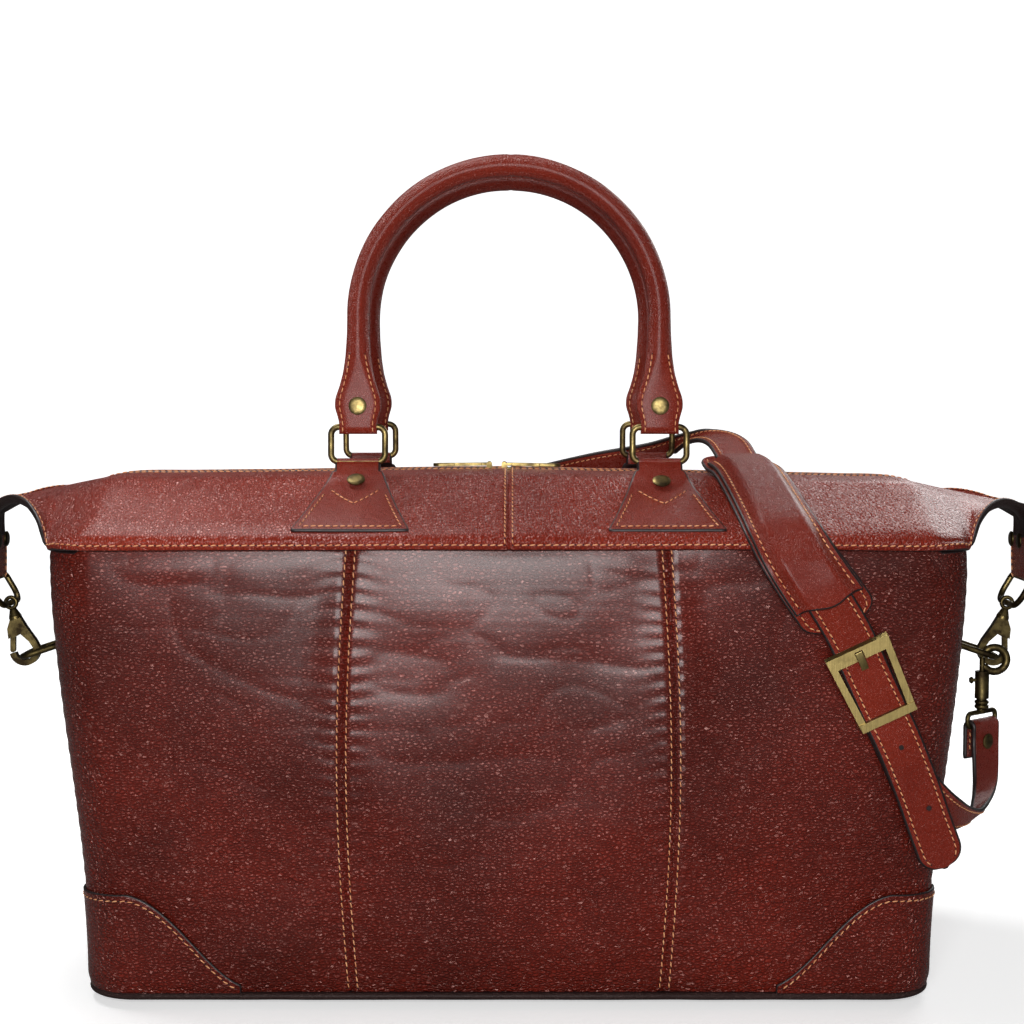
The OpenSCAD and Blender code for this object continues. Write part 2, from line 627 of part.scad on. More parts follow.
// The gate closes the hook and swings inward about its pin
module trigger_gate() {
    in_trigger() difference() {
        in_xz(gate_t) hull() {
            translate([gate_x, gate_z]) circle(gate_r, $fn = 24);
            translate([hook_r - hook_t / 2 - 0.3, hook_z + 2.6]) circle(gate_r, $fn = 24);
        }
        translate([gate_x, 0, gate_z]) rotate([90, 0, 0]) cylinder(r = pin_r + 0.2, h = trigger_t, center = true);
    }
}
module trigger_snap_right() { color(brass) trigger_snap(); }
module trigger_snap_left() { mirror([1, 0, 0]) trigger_snap_right(); }
module trigger_gate_right() { color(brass) trigger_gate(); }
module trigger_gate_left() { mirror([1, 0, 0]) trigger_gate_right(); }

// The side ring reaches from a loop on the gusset to the hook of the trigger snap
side_z = hem_z - 64;
loop_tail = 16;                         // length of the loop's sewn ends below the ring
function gusset_at(z) = half_w(z) - tuck(3, z);
gusset_x = max(gusset_at(side_z), gusset_at(side_z - loop_tail));
side_x = gusset_x + seat + 0.2 + loop_t + loop_in;
snap_play = 1.2;                        // play of each snap on the side ring
hold = trigger_l - hook_t - wire_d / 2 - snap_play;     // from the wing ring's wire to the side ring's
far_x = trigger_x - hold * sin(trigger_tilt);
far_z = trigger_z - hold * cos(trigger_tilt);
side_l = norm([far_x - side_x, far_z - side_z]);
side_tilt = atan2(side_z - far_z, far_x - side_x);
side_w = 34;
side_r = 8;                             // bend of the ring's corners
module side_ring() {
    translate([side_x, 0, side_z]) rotate([0, side_tilt, 0]) translate([side_l / 2, 0, 0])
        wire_loop(side_l, side_w, side_r, wire_d);
}
module side_ring_right() { color(brass) side_ring(); }
module side_ring_left() { mirror([1, 0, 0]) side_ring_right(); }

// A leather loop on each gusset, folded round the inner wire of the side ring
side_loop_w = side_w - 2 * side_r + 2;  // as wide as the ring's straight wire
module side_loops() {
    x0 = side_x - loop_r;
    x1 = x0 + loop_t + 0.3;
    color(leather) both_sides()
        in_xz(side_loop_w) stroke(concat([[x0, side_z - loop_tail]],
            arc([side_x, side_z], loop_r, 180, -50, 12), [[x1, side_z - 8], [x1, side_z - loop_tail]]), loop_t);
}

// ---- bolt snaps --------------------------------------------------------------

// Drawn hanging down its own z axis from the wire it hooks, which runs along y at the origin.
bolt_hook_r = 8;                        // centre line of the hook
bolt_hook_d = 5;
barrel_x = -bolt_hook_r;
barrel_top = -10;
barrel_l = 18;
barrel_r = 4.6;
barrel_base = barrel_top - barrel_l;
collar_l = 7;
bolt_r = 1.8;
knob_h = 12;                            // height of the thumb knob over the barrel's base
bolt_travel = 8;
eye_gap = 2;
eye_h_in = 9;
eye_w = strap_w + 5;
hook_mid_z = -(bolt_hook_r - bolt_hook_d / 2 - wire_d / 2 - snap_play);
module bolt_snap() {
    difference() {
        union() {
            translate([0, 0, hook_mid_z]) rotate([90, 0, 0]) rotate([0, 0, -150])
                rotate_extrude(angle = 300) translate([bolt_hook_r, 0]) circle(bolt_hook_d / 2, $fn = 20);
            translate([barrel_x, 0, barrel_base]) cylinder(r = barrel_r, h = barrel_l);
        }
        translate([barrel_x, 0, barrel_base + 1.5]) cylinder(r = bolt_r + seat, h = hook_mid_z + 2 - barrel_base);
        translate([barrel_x - barrel_r - 1, -1.4, barrel_base + knob_h - bolt_travel - 1.4])
            cube([barrel_r + 1, 2.8, bolt_travel + 2.8]);
    }
    // ribbed collar that turns on the eye's stem
    translate([barrel_x, 0, barrel_base - collar_l]) difference() {
        rotate_extrude() polygon([[0, 0], [barrel_r * 0.8, 0], [barrel_r, 1], [barrel_r, 2.4],
            [barrel_r * 0.8, 3], [barrel_r, 3.8], [barrel_r, 5.2], [barrel_r * 0.7, 6],
            [barrel_r * 0.7, collar_l + eps], [0, collar_l + eps]]);
        translate([0, 0, -1]) cylinder(r = 1.8 + seat, h = 5);
    }
}
// The sliding bolt and its thumb knob
module snap_bolt() {
    z0 = barrel_base + knob_h - 2.2;
    translate([barrel_x, 0, 0]) {
        translate([0, 0, z0]) cylinder(r = bolt_r, h = hook_mid_z + 1.6 - z0);
        translate([0, 0, barrel_base + knob_h]) rotate([0, -90, 0]) {
            cylinder(r = 1.1, h = barrel_r + 2.5);
            translate([0, 0, barrel_r + 1.5]) rotate_extrude()
                polygon([[0, 0], [2, 0], [2.4, 1], [1.6, 2.2], [0, 2.2]]);
        }
    }
}
// The eye that carries the strap, on a stem in the collar
eye_top = barrel_base - collar_l - eye_gap;
module snap_eye(turn) {
    translate([barrel_x, 0, 0]) rotate([0, 0, turn]) {
        translate([0, 0, eye_top - eye_h_in / 2]) rotate([90, 0, 0])
            wire_loop(eye_w, eye_h_in, 3.5, 2 * bar_r);
        translate([0, 0, eye_top]) cylinder(r = 1.8, h = 5);
        translate([0, 0, eye_top - 1]) cylinder(r1 = 2.6, r2 = 3.2, h = 2.6);
    }
}
eye_bar = eye_top - eye_h_in;           // the wire that the strap is folded over

// Right: on the outer wire of the side ring, in front of the trigger snap
snap_y = 8.5;
eye_turn_right = 40;
module at_right_snap() { translate([far_x, -snap_y, far_z]) children(); }
// Left: on the rear arm of the side ring, pointing back along the gusset
arm_in = 20;                            // distance of the hook from the loop on the gusset
module at_left_snap() {
    mirror([1, 0, 0]) translate([side_x + arm_in * cos(side_tilt), side_w / 2, side_z - arm_in * sin(side_tilt)])
        rotate([0, 90 + side_tilt, 0]) rotate([90, 0, 0]) children();
}
module bolt_snap_right() { color(brass) at_right_snap() bolt_snap(); }
module bolt_snap_left() { color(brass) at_left_snap() bolt_snap(); }
module snap_bolt_right() { color(brass) at_right_snap() snap_bolt(); }
module snap_bolt_left() { color(brass) at_left_snap() snap_bolt(); }
module snap_eye_right() { color(brass) at_right_snap() snap_eye(eye_turn_right); }
module snap_eye_left() { color(brass) at_left_snap() snap_eye(0); }

// ---- shoulder strap ----------------------------------------------------------

// Points between hand-set stations, on a curve through all of them
function through(a, b, c, d, t) = 0.5 * ((2 * b) + (c - a) * t + (2 * a - 5 * b + 4 * c - d) * t * t
    + (3 * b - a - 3 * c + d) * t * t * t);
function smooth(p, n) = let (m = len(p) - 1) concat([for (i = [0 : m - 1]) for (k = [0 : n - 1])
    through(p[max(0, i - 1)], p[i], p[i + 1], p[min(m, i + 2)], k / n)], [p[m]]);

// A strap along stations of [middle, direction across], w wide at the share w_at(i) of its width
module ribbon(path, w, t, lift = 0, ends = 0) {
    n = len(path) - 1;
    function c(i) = [path[i][0], path[i][1], path[i][2]];
    function across(i) = unit([path[i][3], path[i][4], path[i][5]]);
    function out(i) = unit(cross(c(min(n, i + 1)) - c(max(0, i - 1)), across(i)));
    // width narrows to round ends over the last few stations
    function half(i) = w / 2 * (ends > 0 && i > n - ends ? sqrt(max(0.12, 1 - pow((i - n + ends) / ends, 2))) : 1);
    skin([for (i = [0 : n]) [for (s = [-1, 0, 1])
        c(i) + across(i) * half(i) * s + out(i) * (lift + t / 2)]], t);
}

bar_r = 1.6;                            // radius of every bar that a strap folds over
// Fold of a strap round the bar of a snap's eye: from its stitched tail, round the bar and
// out along d on the side v
fold_r = bar_r + seat + strap_t / 2;
function fold(bar, d, v, w, tail) = concat(
    [for (k = [0, 0.5]) concat(bar + tail * (1 - k) * d - fold_r * v, w)],
    [for (a = [0 : 30 : 180]) concat(bar - fold_r * (cos(a) * v + sin(a) * d), w)],
    [concat(bar + tail * 0.6 * d + fold_r * v, w)]);

// Left end: where the eye of the left snap holds the strap
arm_a = 90 + side_tilt;
left_bar = [-(side_x + arm_in * cos(side_tilt) + barrel_x * cos(arm_a)), side_w / 2 - eye_bar,
    side_z - arm_in * sin(side_tilt) - barrel_x * sin(arm_a)];
left_across = [cos(arm_a), 0, sin(arm_a)];
left_out = [sin(arm_a), 0, -cos(arm_a)];
right_bar = [far_x + barrel_x, -snap_y, far_z + eye_bar];

// Middle of the strap, with its direction across, from the left end behind the bag, over the
// ridge beside the handles and down the front
rear_route = [
    [-281, 92, 219, -0.1, 0, 1], [-275, 109, 221, 0, 0, 1], [-262, 122, 224, 0, 0, 1],
    [-240, 127, 229, -0.2, 0, 1], [-150, 129, 252, -0.3, 0, 1], [-60, 129, 281, -0.3, 0, 1],
    [0, 121, 300, -0.3, -0.1, 1], [32, 109, 309, -0.3, -0.3, 1], [64, 94, 319, -0.2, -0.6, 0.8],
    [96, 81, 328, 0, -0.8, 0.6], [118, 63, 337, 0.35, -0.75, 0.5], [134, 35, 342, 0.75, -0.55, 0.25],
    [144, 4, 339, 1, -0.15, 0.05]];
pad_route = [
    [149, -28, 327, 1, 0.1, 0], [152, -52, 324, 1, 0.12, 0], [156, -78, 314, 1, 0.15, 0.03],
    [160, -101, 303, 1, 0.15, 0.08], [164, -122, 291.5, 1, 0.12, 0.16], [171, -132.5, 276.5, 1, 0.05, 0.26],
    [180, -136, 262, 1, 0, 0.36], [189, -137, 249, 1, 0, 0.42]];
buckle_at = [223, -135, 182];
buckle_lean = 25;
buckle_up = [-sin(buckle_lean), 0, cos(buckle_lean)];
buckle_across = [cos(buckle_lean), 0, sin(buckle_lean)];
function on_buckle(v, lift = 0) = concat(buckle_at + v * buckle_up + [0, -lift, 0], buckle_across);
tail_route = [on_buckle(52), on_buckle(24), on_buckle(0), on_buckle(-20),
    [242.5, -131, 138, 0.92, 0, 0.4], [250, -129, 118, 0.92, 0, 0.4], [256.5, -128, 101, 0.92, 0, 0.4],
    [258.5, -128, 96, 0.92, 0, 0.4], [260, -128, 92, 0.92, 0, 0.4], [261, -128, 89.5, 0.92, 0, 0.4]];

left_fold = fold(left_bar, [0, 1, 0], left_out, left_across, 24);
long_route = concat(left_fold, smooth(concat(rear_route, pad_route), 2), tail_route);

hole_d = 3;
module strap_long() {
    color(leather) difference() {
        ribbon(long_route, strap_w, strap_t, 0, 4);
        // holes below the buckle, one above it and the slot that the tongue passes
        for (v = [-hole_pitch * 1.45, -hole_pitch * 0.5]) strap_hole(v, hole_d);
        strap_hole(57, hole_d);
        in_buckle() translate([-2.7, 23, -strap_t]) cube([5.4, 13, 2 * strap_t]);
    }
}
module strap_hole(v, d) {
    in_buckle() translate([0, v, 0]) cylinder(d = d, h = 30, center = true, $fn = 24);
}

// A short strap from the buckle's lower bar, under the tail and round to the right snap
bar_lift = -(strap_t + seat + fold_r);  // the buckle's lower bar lies behind the strap
right_dir = [0, 0, -1];
right_across = [cos(eye_turn_right), sin(eye_turn_right), 0];
right_out = [-sin(eye_turn_right), cos(eye_turn_right), 0];
right_fold = fold(right_bar, right_dir, -right_out, right_across, 26);
module strap_short() {
    n = len(right_fold) - 1;
    color(leather) difference() {
        ribbon(concat(
            [for (a = [-90 : 30 : 90]) let (v = fold_r * cos(a), l = bar_lift - fold_r * sin(a)) on_buckle(v, l)],
            smooth([on_buckle(-12, bar_lift - fold_r), on_buckle(-30, bar_lift - fold_r),
                [243, -125.5, 139, 0.9, 0.05, 0.42], [257, -122, 124, 0.85, 0.25, 0.45],
                [275, -103, 113, 0.6, 0.65, 0.3], [292, -74, 108, 0.55, 0.75, 0.1],
                [305, -42, 111, 0.65, 0.72, 0], [312, -22, 119, 0.72, 0.68, 0]], 2),
            [for (i = [n : -1 : 0]) right_fold[i]]), strap_w, strap_t);
        // slot for the tongue
        in_buckle() translate([-2.9, -3.5, bar_lift - fold_r - strap_t]) cube([5.8, 12, 2 * (fold_r + strap_t)]);
    }
}

module in_buckle() {
    translate(buckle_at) rotate([0, -buckle_lean, 0]) rotate([90, 0, 0]) children();
}
buckle_h = 46;                          // from the lower bar to the top of the frame
buckle_top_w = 40;
buckle_low_w = 35;
frame_t = 3.2;
frame_z = strap_t / 2 + seat;
bar_w = 4;                              // width of the frame's side bars
module buckle_frame() {
    color(brass) in_buckle() {
        difference() {
            translate([0, 0, frame_z]) linear_extrude(frame_t) difference() {
                polygon([[-buckle_low_w / 2, -3], [buckle_low_w / 2, -3],
                    [buckle_top_w / 2, buckle_h], [-buckle_top_w / 2, buckle_h]]);
                polygon([[-buckle_low_w / 2 + bar_w, 2], [buckle_low_w / 2 - bar_w, 2],
                    [buckle_top_w / 2 - bar_w - 0.6, buckle_h - 9], [-buckle_top_w / 2 + bar_w + 0.6, buckle_h - 9]]);
            }
            // bevel of the top bar, and the notch for the tongue
            translate([-buckle_top_w, buckle_h, frame_z + frame_t * 0.4]) rotate([40, 0, 0])
                cube([2 * buckle_top_w, 8, 8]);
            translate([-2.6, buckle_h - 9.5, 0]) cube([5.2, 6, 10]);
        }
        // raised keeper bar over the strap, and lugs down to the lower bar behind it
        translate([-buckle_low_w / 2, -3, frame_z + frame_t - eps]) cube([buckle_low_w, 5, 1.4]);
        for (sx = [-1, 1]) translate([sx * (buckle_low_w - bar_w + 0.6) / 2, 0, (frame_z - bar_out) / 2 + 0.2])
            cube([bar_w - 0.6, 5, frame_z + bar_out + 0.4], center = true);
        translate([0, 0, bar_lift]) rotate([0, 90, 0]) cylinder(r = bar_r, h = buckle_low_w - 2, center = true);
    }
}
bar_out = bar_r - bar_lift;
// The tongue turns on the lower bar, runs behind the strap and comes up through it
module buckle_tongue() {
    w = 4.4;
    eye_r = bar_r + seat + 0.9;
    color(brass) in_buckle() {
        in_yz(w) stroke([[eye_r, bar_lift], [20, bar_lift + 2.5], [26, bar_lift + 4], [33.5, frame_z + 1.2],
            [buckle_h - 4.2, frame_z + 1.8]], 2);
        translate([-w / 2, 0, bar_lift]) rotate([0, 90, 0]) difference() {
            cylinder(r = eye_r + 0.7, h = w);
            translate([0, 0, -1]) cylinder(r = bar_r + seat, h = w + 2);
        }
    }
}

// The pad: a base with round ends under the strap, and a top layer that forms its sleeve
pad_t = 2.4;
pad_lift = (strap_t + pad_t) / 2 + 3 * seat;
module shoulder_pad_base() {
    n = len(rear_route);
    start = through(rear_route[n - 2], rear_route[n - 1], pad_route[0], pad_route[1], 0.5);
    color(leather) ribbon(concat([start], smooth(pad_route, 2),
        [[193, -136.1, 243, 1, 0, 0.43], [195.6, -135.6, 238.5, 1, 0, 0.44],
            [197.4, -135.2, 235.5, 1, 0, 0.45], [198.2, -135, 234, 1, 0, 0.45]]),
        pad_w + 2, pad_t, -pad_lift, 3);
}
module shoulder_pad_top() {
    color(leather) ribbon(smooth(pad_route, 2), pad_w, pad_t, pad_lift);
}

// Caps on the folded ends of the straps
module strap_rivets() {
    color(brass) {
        translate(right_bar + 10 * right_dir) rotate([0, 0, eye_turn_right]) rotate([90, 0, 0])
            translate([0, 0, fold_r + strap_t / 2 + 0.2]) rivet_cap(rivet_r - 0.6);
        translate(left_bar + [0, 9, 0]) mirror([1, 0, 0]) rotate([0, arm_a, 0])
            translate([0, 0, fold_r + strap_t / 2 + 0.2]) rivet_cap(rivet_r - 0.6);
    }
}

base_panel();
base_board();
base_piping();
base_feet();
front_panel_left();
front_panel_centre();
front_panel_right();
rear_panel_left();
rear_panel_centre();
rear_panel_right();
gusset_left();
gusset_right();
corner_patches();
yoke_front();
yoke_rear();
zip_tapes();
zip_teeth_front();
zip_teeth_rear();
zip_slider_left();
zip_slider_right();
zip_pull_left();
zip_pull_right();
handle_patches_front();
handle_patches_rear();
patch_rivets();
front_rings();
front_handle();
front_handle_core();
front_handle_rivets();
rear_rings();
rear_handle();
rear_handle_core();
rear_handle_rivets();
wing_tab_left();
wing_tab_right();
wing_rivets();
wing_ring_left();
wing_ring_right();
trigger_snap_left();
trigger_snap_right();
trigger_gate_left();
trigger_gate_right();
side_loops();
side_ring_left();
side_ring_right();
bolt_snap_left();
bolt_snap_right();
snap_bolt_left();
snap_bolt_right();
snap_eye_left();
snap_eye_right();
strap_long();
strap_short();
strap_rivets();
shoulder_pad_top();
shoulder_pad_base();
buckle_frame();
buckle_tongue();
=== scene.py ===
"""Weekender bag: the leather, thread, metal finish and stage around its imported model.

Laid out as a Blender add-on. Property groups hold sizes and colours, each operator makes one
piece or a group of like pieces, and a panel in the sidebar lists them. Lengths are in metres.
"""
import functools
import itertools
import math

import bpy
import numpy as np
from bpy.props import FloatProperty, FloatVectorProperty, PointerProperty
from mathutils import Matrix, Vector


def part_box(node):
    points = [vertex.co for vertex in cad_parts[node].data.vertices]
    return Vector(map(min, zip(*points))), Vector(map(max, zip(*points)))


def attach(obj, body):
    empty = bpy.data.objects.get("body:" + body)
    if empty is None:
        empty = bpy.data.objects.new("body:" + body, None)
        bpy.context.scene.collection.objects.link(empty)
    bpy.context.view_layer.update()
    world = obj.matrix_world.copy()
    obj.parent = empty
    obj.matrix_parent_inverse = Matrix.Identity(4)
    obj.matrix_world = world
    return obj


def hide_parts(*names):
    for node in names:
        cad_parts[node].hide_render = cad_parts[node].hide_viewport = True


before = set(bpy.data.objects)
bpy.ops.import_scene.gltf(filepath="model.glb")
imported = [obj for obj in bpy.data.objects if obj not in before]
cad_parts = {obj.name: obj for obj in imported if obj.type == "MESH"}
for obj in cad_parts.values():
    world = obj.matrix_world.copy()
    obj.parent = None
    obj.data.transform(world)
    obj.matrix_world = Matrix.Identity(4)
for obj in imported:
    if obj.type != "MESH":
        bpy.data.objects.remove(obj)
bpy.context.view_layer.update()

bl_info = {
    "name": "Weekender Bag",
    "version": (1, 0, 0),
    "blender": (4, 5, 0),
    "location": "View3D > Sidebar > Bag",
    "description": "Makes the leather, stitching, metal finishes and stage of a weekender bag",
    "category": "Object",
}

MM = 0.001


def top_of(node):
    """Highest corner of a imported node."""
    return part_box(node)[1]


def low_of(node):
    """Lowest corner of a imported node."""
    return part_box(node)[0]


# ---- sizes and colours -----------------------------------------------------------------


def length(name, description, default):
    """A length that the user may change."""
    return FloatProperty(name=name, description=description, default=default, min=0, unit="LENGTH")


def colour(name, description, rgb):
    """A colour that the user may change, given as the 8-bit screen value it should show."""
    c = np.array(rgb) / 255
    linear = np.where(c <= 0.04045, c / 12.92, ((c + 0.055) / 1.055) ** 2.4)
    return FloatVectorProperty(name=name, description=description, subtype="COLOR", size=3,
                               default=tuple(linear), min=0, max=1)


class BagForm(bpy.types.PropertyGroup):
    """Sizes of the bag's body, straps and stitching."""

    top_width: length("Top width", "Width of the body at the hem",
                      2 * top_of("front_panel_right").x)
    base_width: length("Base width", "Width of the body at its base",
                       2 * top_of("base_piping").x - 2 * MM)
    depth: length("Depth", "Front to back at the corners", 2 * top_of("base_piping").y - 2 * MM)
    wall_low: length("Wall foot", "Height of the lower edge of the walls",
                     low_of("front_panel_centre").z)
    hem: length("Hem height", "Height of the yoke's lower edge",
                low_of("handle_patches_front").z - 8 * MM)
    ridge: length("Ridge height", "Height of the zip", top_of("yoke_front").z)
    corner: length("Corner radius", "Radius of the upright corners", 30 * MM)
    belly: length("Belly", "How far the front stands out at mid height", 7 * MM)
    tuck: length("Tuck", "How far the gussets fold in at the top", 16 * MM)
    seam: length("Seam", "Distance of the seams from the middle at the hem", 94 * MM)
    panel: length("Panel thickness", "Leather and lining of a wall", 3 * MM)
    yoke: length("Yoke thickness", "Leather of the yoke", 2.2 * MM)
    pitch: length("Stitch pitch", "Distance between stitches", 4.6 * MM)
    thread: length("Thread width", "Width of a stitch", 0.85 * MM)
    slump: length("Slump", "Height of the soft waves in the walls", 2.2 * MM)


class BagColours(bpy.types.PropertyGroup):
    """Colours of the bag's leathers, thread and metal."""

    leather: colour("Leather", "Pebbled cognac leather of the body", (114, 31, 19))
    # darker tone of the mottled dye, and also the colour of the painted shade in the folds and
    # pebble valleys
    shade: colour("Leather shade", "Darker tone in the folds", (76, 20, 13))
    smooth: colour("Smooth leather", "Leather of yoke, handles and strap", (146, 48, 31))
    edge: colour("Edge paint", "Painted edges and lining", (32, 20, 20))
    thread: colour("Thread", "Pale waxed thread", (226, 168, 120))
    brass: colour("Antique brass", "Bright tone of the aged brass", (150, 132, 84))
    patina: colour("Patina", "Dark tone of the aged brass", (60, 49, 33))
    gold: colour("Zip brass", "Teeth of the zip", (176, 142, 84))


def form():
    return bpy.context.scene.bag_form


def tones():
    return bpy.context.scene.bag_colours


# ---- grids -----------------------------------------------------------------------------


def mix(a, b, t):
    return a + (b - a) * t


def ease(t):
    """A step from 0 to 1 that starts and ends gently: half a cosine wave."""
    return (1 - np.cos(np.pi * np.clip(t, 0, 1))) / 2


def unit(v):
    return v / np.maximum(np.linalg.norm(v, axis=-1, keepdims=True), 1e-12)


def bump_at(d, width):
    """A bell of height 1 at distance 0: e to the minus square of d over width."""
    return np.exp(-((d / width) ** 2))


def lattice(cells, seed):
    """A fixed value from -1 to 1 for each whole-number point: the fraction of a large sine."""
    v = np.sin(cells @ np.array([127.1, 311.7, 74.7]) + seed * 19.19) * 43758.5453
    return 2 * (v - np.floor(v)) - 1


def noise(points, size, seed=0):
    """Smooth waves from -1 to 1, about size long: lattice values blended by smoothstep."""
    p = points / size
    base = np.floor(p)
    f = p - base
    f = f * f * (3 - 2 * f)
    total = 0
    for corner in itertools.product((0, 1), repeat=3):
        c = np.array(corner)
        total = total + np.prod(np.where(c, f, 1 - f), axis=-1) * lattice(base + c, seed)
    return total


def creases(points, size, seed):
    """Thin valleys, 0 on the flat and 1 at the bottom: one less the waves' size, to the power 7."""
    warp = np.stack([noise(points, size[0] * 1.4, seed + k) for k in (5, 6, 7)], -1)
    return (1 - np.abs(noise(points + warp * size[0] * 0.35, np.array(size), seed))) ** 7


def normals(P):
    """Unit normals of a grid: the cross product of its differences along rows and columns."""
    return unit(np.cross(np.gradient(P, axis=0), np.gradient(P, axis=1)))


def refine(P, *steps):
    """A finer grid through the same points: Catmull-Rom curves along each axis in turn."""
    for axis, n in enumerate(steps):
        G = np.moveaxis(P, axis, 0)
        m = len(G)
        t = np.linspace(0, m - 1, (m - 1) * n + 1)
        i = np.minimum(t.astype(int), m - 2)
        f = (t - i).reshape(-1, *[1] * (G.ndim - 1))
        a, b, c, d = G[np.maximum(i - 1, 0)], G[i], G[i + 1], G[np.minimum(i + 2, m - 1)]
        G = 0.5 * (2 * b + (c - a) * f + (2 * a - 5 * b + 4 * c - d) * f**2
                   + (3 * b - a - 3 * c + d) * f**3)
        P = np.moveaxis(G, 0, axis)
    return P


def even(path, n):
    """n points spaced evenly along a path, by its running length."""
    s = np.concatenate([[0], np.cumsum(np.linalg.norm(np.diff(path[:, :3], axis=0), axis=1))])
    t = np.linspace(0, s[-1], n)
    return np.stack([np.interp(t, s, path[:, k]) for k in range(path.shape[1])], -1)


def mirrored(P, sx, sy=1):
    """The grid on the other side of a middle plane, its columns turned so that it faces out."""
    P = P * np.array([sx, sy, 1.0])
    return P[:, ::-1] if sx * sy < 0 else P


def inside(P, edge, d):
    """The line at distance d inside an edge of a grid, and the normals there.

    The edges are the first row 0, the last row 1, the first column 2 and the last column 3."""
    G, N = P, normals(P)
    if edge < 2:
        G, N = np.swapaxes(G, 0, 1), np.swapaxes(N, 0, 1)
    if edge in (1, 3):
        G, N = G[:, ::-1], N[:, ::-1]
    run = np.cumsum(np.linalg.norm(np.diff(G, axis=1), axis=-1), axis=1)
    run = np.concatenate([np.zeros((len(G), 1)), run], axis=1)
    i = np.arange(len(G))
    j = np.clip((run < d).sum(1) - 1, 0, G.shape[1] - 2)
    f = np.clip((d - run[i, j]) / (run[i, j + 1] - run[i, j]), 0, 1)[:, None]
    return mix(G[i, j], G[i, j + 1], f), unit(mix(N[i, j], N[i, j + 1], f))


def at(P, u, v):
    """Points and normals at the shares u and v of a grid's rows and columns, blended from four."""
    N = normals(P)
    i, j = np.clip(u, 0, 1) * (P.shape[0] - 1), np.clip(v, 0, 1) * (P.shape[1] - 1)
    a = np.minimum(i.astype(int), P.shape[0] - 2)
    b = np.minimum(j.astype(int), P.shape[1] - 2)
    f, g = (i - a)[..., None], (j - b)[..., None]
    blend = [(1 - f) * ((1 - g) * G[a, b] + g * G[a, b + 1])
             + f * ((1 - g) * G[a + 1, b] + g * G[a + 1, b + 1]) for G in (P, N)]
    return blend[0], unit(blend[1])


# ---- mesh parts: each is (points, faces, material number) -------------------------------

# material numbers; the last is the painted shade of holes
OUT, RIM, LINING, THREAD, HOLE_SHADE = range(5)


def cells(ids):
    """The four-sided faces of a grid of point numbers, facing the way of its normals."""
    return np.stack([ids[:-1, :-1], ids[1:, :-1], ids[1:, 1:], ids[:-1, 1:]], -1).reshape(-1, 4)


def sheet(P, t, faces=(OUT, RIM, LINING), rim=3):
    """Leather of thickness t under the grid P. Its rim follows half circles from face to face."""
    ni, nj = P.shape[:2]
    N = normals(P)
    n = ni * nj
    ids = np.arange(n).reshape(ni, nj)
    loop = np.concatenate([ids[:, 0], ids[-1, 1:], ids[-2::-1, -1], ids[0, -2:0:-1]])
    edge, up = P.reshape(-1, 3)[loop], N.reshape(-1, 3)[loop]
    out = unit(np.cross(np.roll(edge, -1, 0) - np.roll(edge, 1, 0), up))
    a = np.pi * np.arange(1, rim + 1)[:, None, None] / (rim + 1)
    rings = edge + (out * np.sin(a) - up * (1 - np.cos(a))) * t / 2
    points = np.concatenate([P.reshape(-1, 3), (P - t * N).reshape(-1, 3), rings.reshape(-1, 3)])
    m = len(loop)
    lines = np.concatenate([loop[None], 2 * n + np.arange(rim * m).reshape(rim, m), n + loop[None]])
    lines = np.concatenate([lines, lines[:, :1]], axis=1)
    return [(points, cells(ids), faces[0]), (None, cells(ids)[:, ::-1] + n, faces[2]),
            (None, cells(lines), faces[1])]


def tube(P, number=OUT):
    """A closed tube through rings of points, each ring a row, with a flat cap at either end."""
    n, m = P.shape[:2]
    ids = np.arange(n * m).reshape(n, m)
    wrap = np.concatenate([ids, ids[:, :1]], axis=1)
    points = np.concatenate([P.reshape(-1, 3), P[0].mean(0)[None], P[-1].mean(0)[None]])
    side = cells(wrap)[:, ::-1]
    first = np.stack([np.full(m, n * m), wrap[0, 1:], wrap[0, :-1]], -1)
    last = np.stack([np.full(m, n * m + 1), wrap[-1, :-1], wrap[-1, 1:]], -1)
    return [(points, side, number), (None, first, number), (None, last, number)]


def ring_tube(P, number=OUT):
    """A tube whose last ring joins its first."""
    n, m = P.shape[:2]
    ids = np.arange(n * m).reshape(n, m)
    wrap = np.concatenate([ids, ids[:1]])
    wrap = np.concatenate([wrap, wrap[:, :1]], axis=1)
    return [(P.reshape(-1, 3), cells(wrap)[:, ::-1], number)]


def rings(path, across, a, b, sides=24, power=2.0, twist=0.0):
    """Rings round a path: half width a along across, half depth b square to it.

    Each follows a superellipse, in which the cosine and sine are raised to 2 over power."""
    T = unit(np.gradient(path, axis=0))
    e1 = unit(across - T * np.sum(across * T, -1, keepdims=True))
    e2 = np.cross(T, e1)
    t = np.linspace(0, 2 * np.pi, sides, endpoint=False) + twist
    p = 2 / np.broadcast_to(power, len(path))[:, None]
    c = np.sign(np.cos(t)) * np.abs(np.cos(t)) ** p * np.broadcast_to(a, len(path))[:, None]
    s = np.sign(np.sin(t)) * np.abs(np.sin(t)) ** p * np.broadcast_to(b, len(path))[:, None]
    return path[:, None] + c[..., None] * e1[:, None] + s[..., None] * e2[:, None]


def bead(around, along):
    """Points and faces of a long bead from -1 to 1 on x: rings of points and two poles."""
    x = np.cos(np.linspace(0, np.pi, along + 2))[1:-1]
    a = np.linspace(0, 2 * np.pi, around, endpoint=False)
    r = np.sqrt(1 - x**2) ** 0.7
    P = np.stack([np.broadcast_to(x[:, None], (along, around)), r[:, None] * np.cos(a),
                  r[:, None] * np.sin(a)], -1).reshape(-1, 3)
    ids = np.arange(along * around).reshape(along, around)
    wrap = np.concatenate([ids, ids[:, :1]], axis=1)
    n = along * around
    tips = [np.stack([np.full(around, n), wrap[0, :-1], wrap[0, 1:]], -1),
            np.stack([np.full(around, n + 1), wrap[-1, 1:], wrap[-1, :-1]], -1)]
    return np.concatenate([P, [[1, 0, 0], [-1, 0, 0]]]), [cells(wrap), *tips]


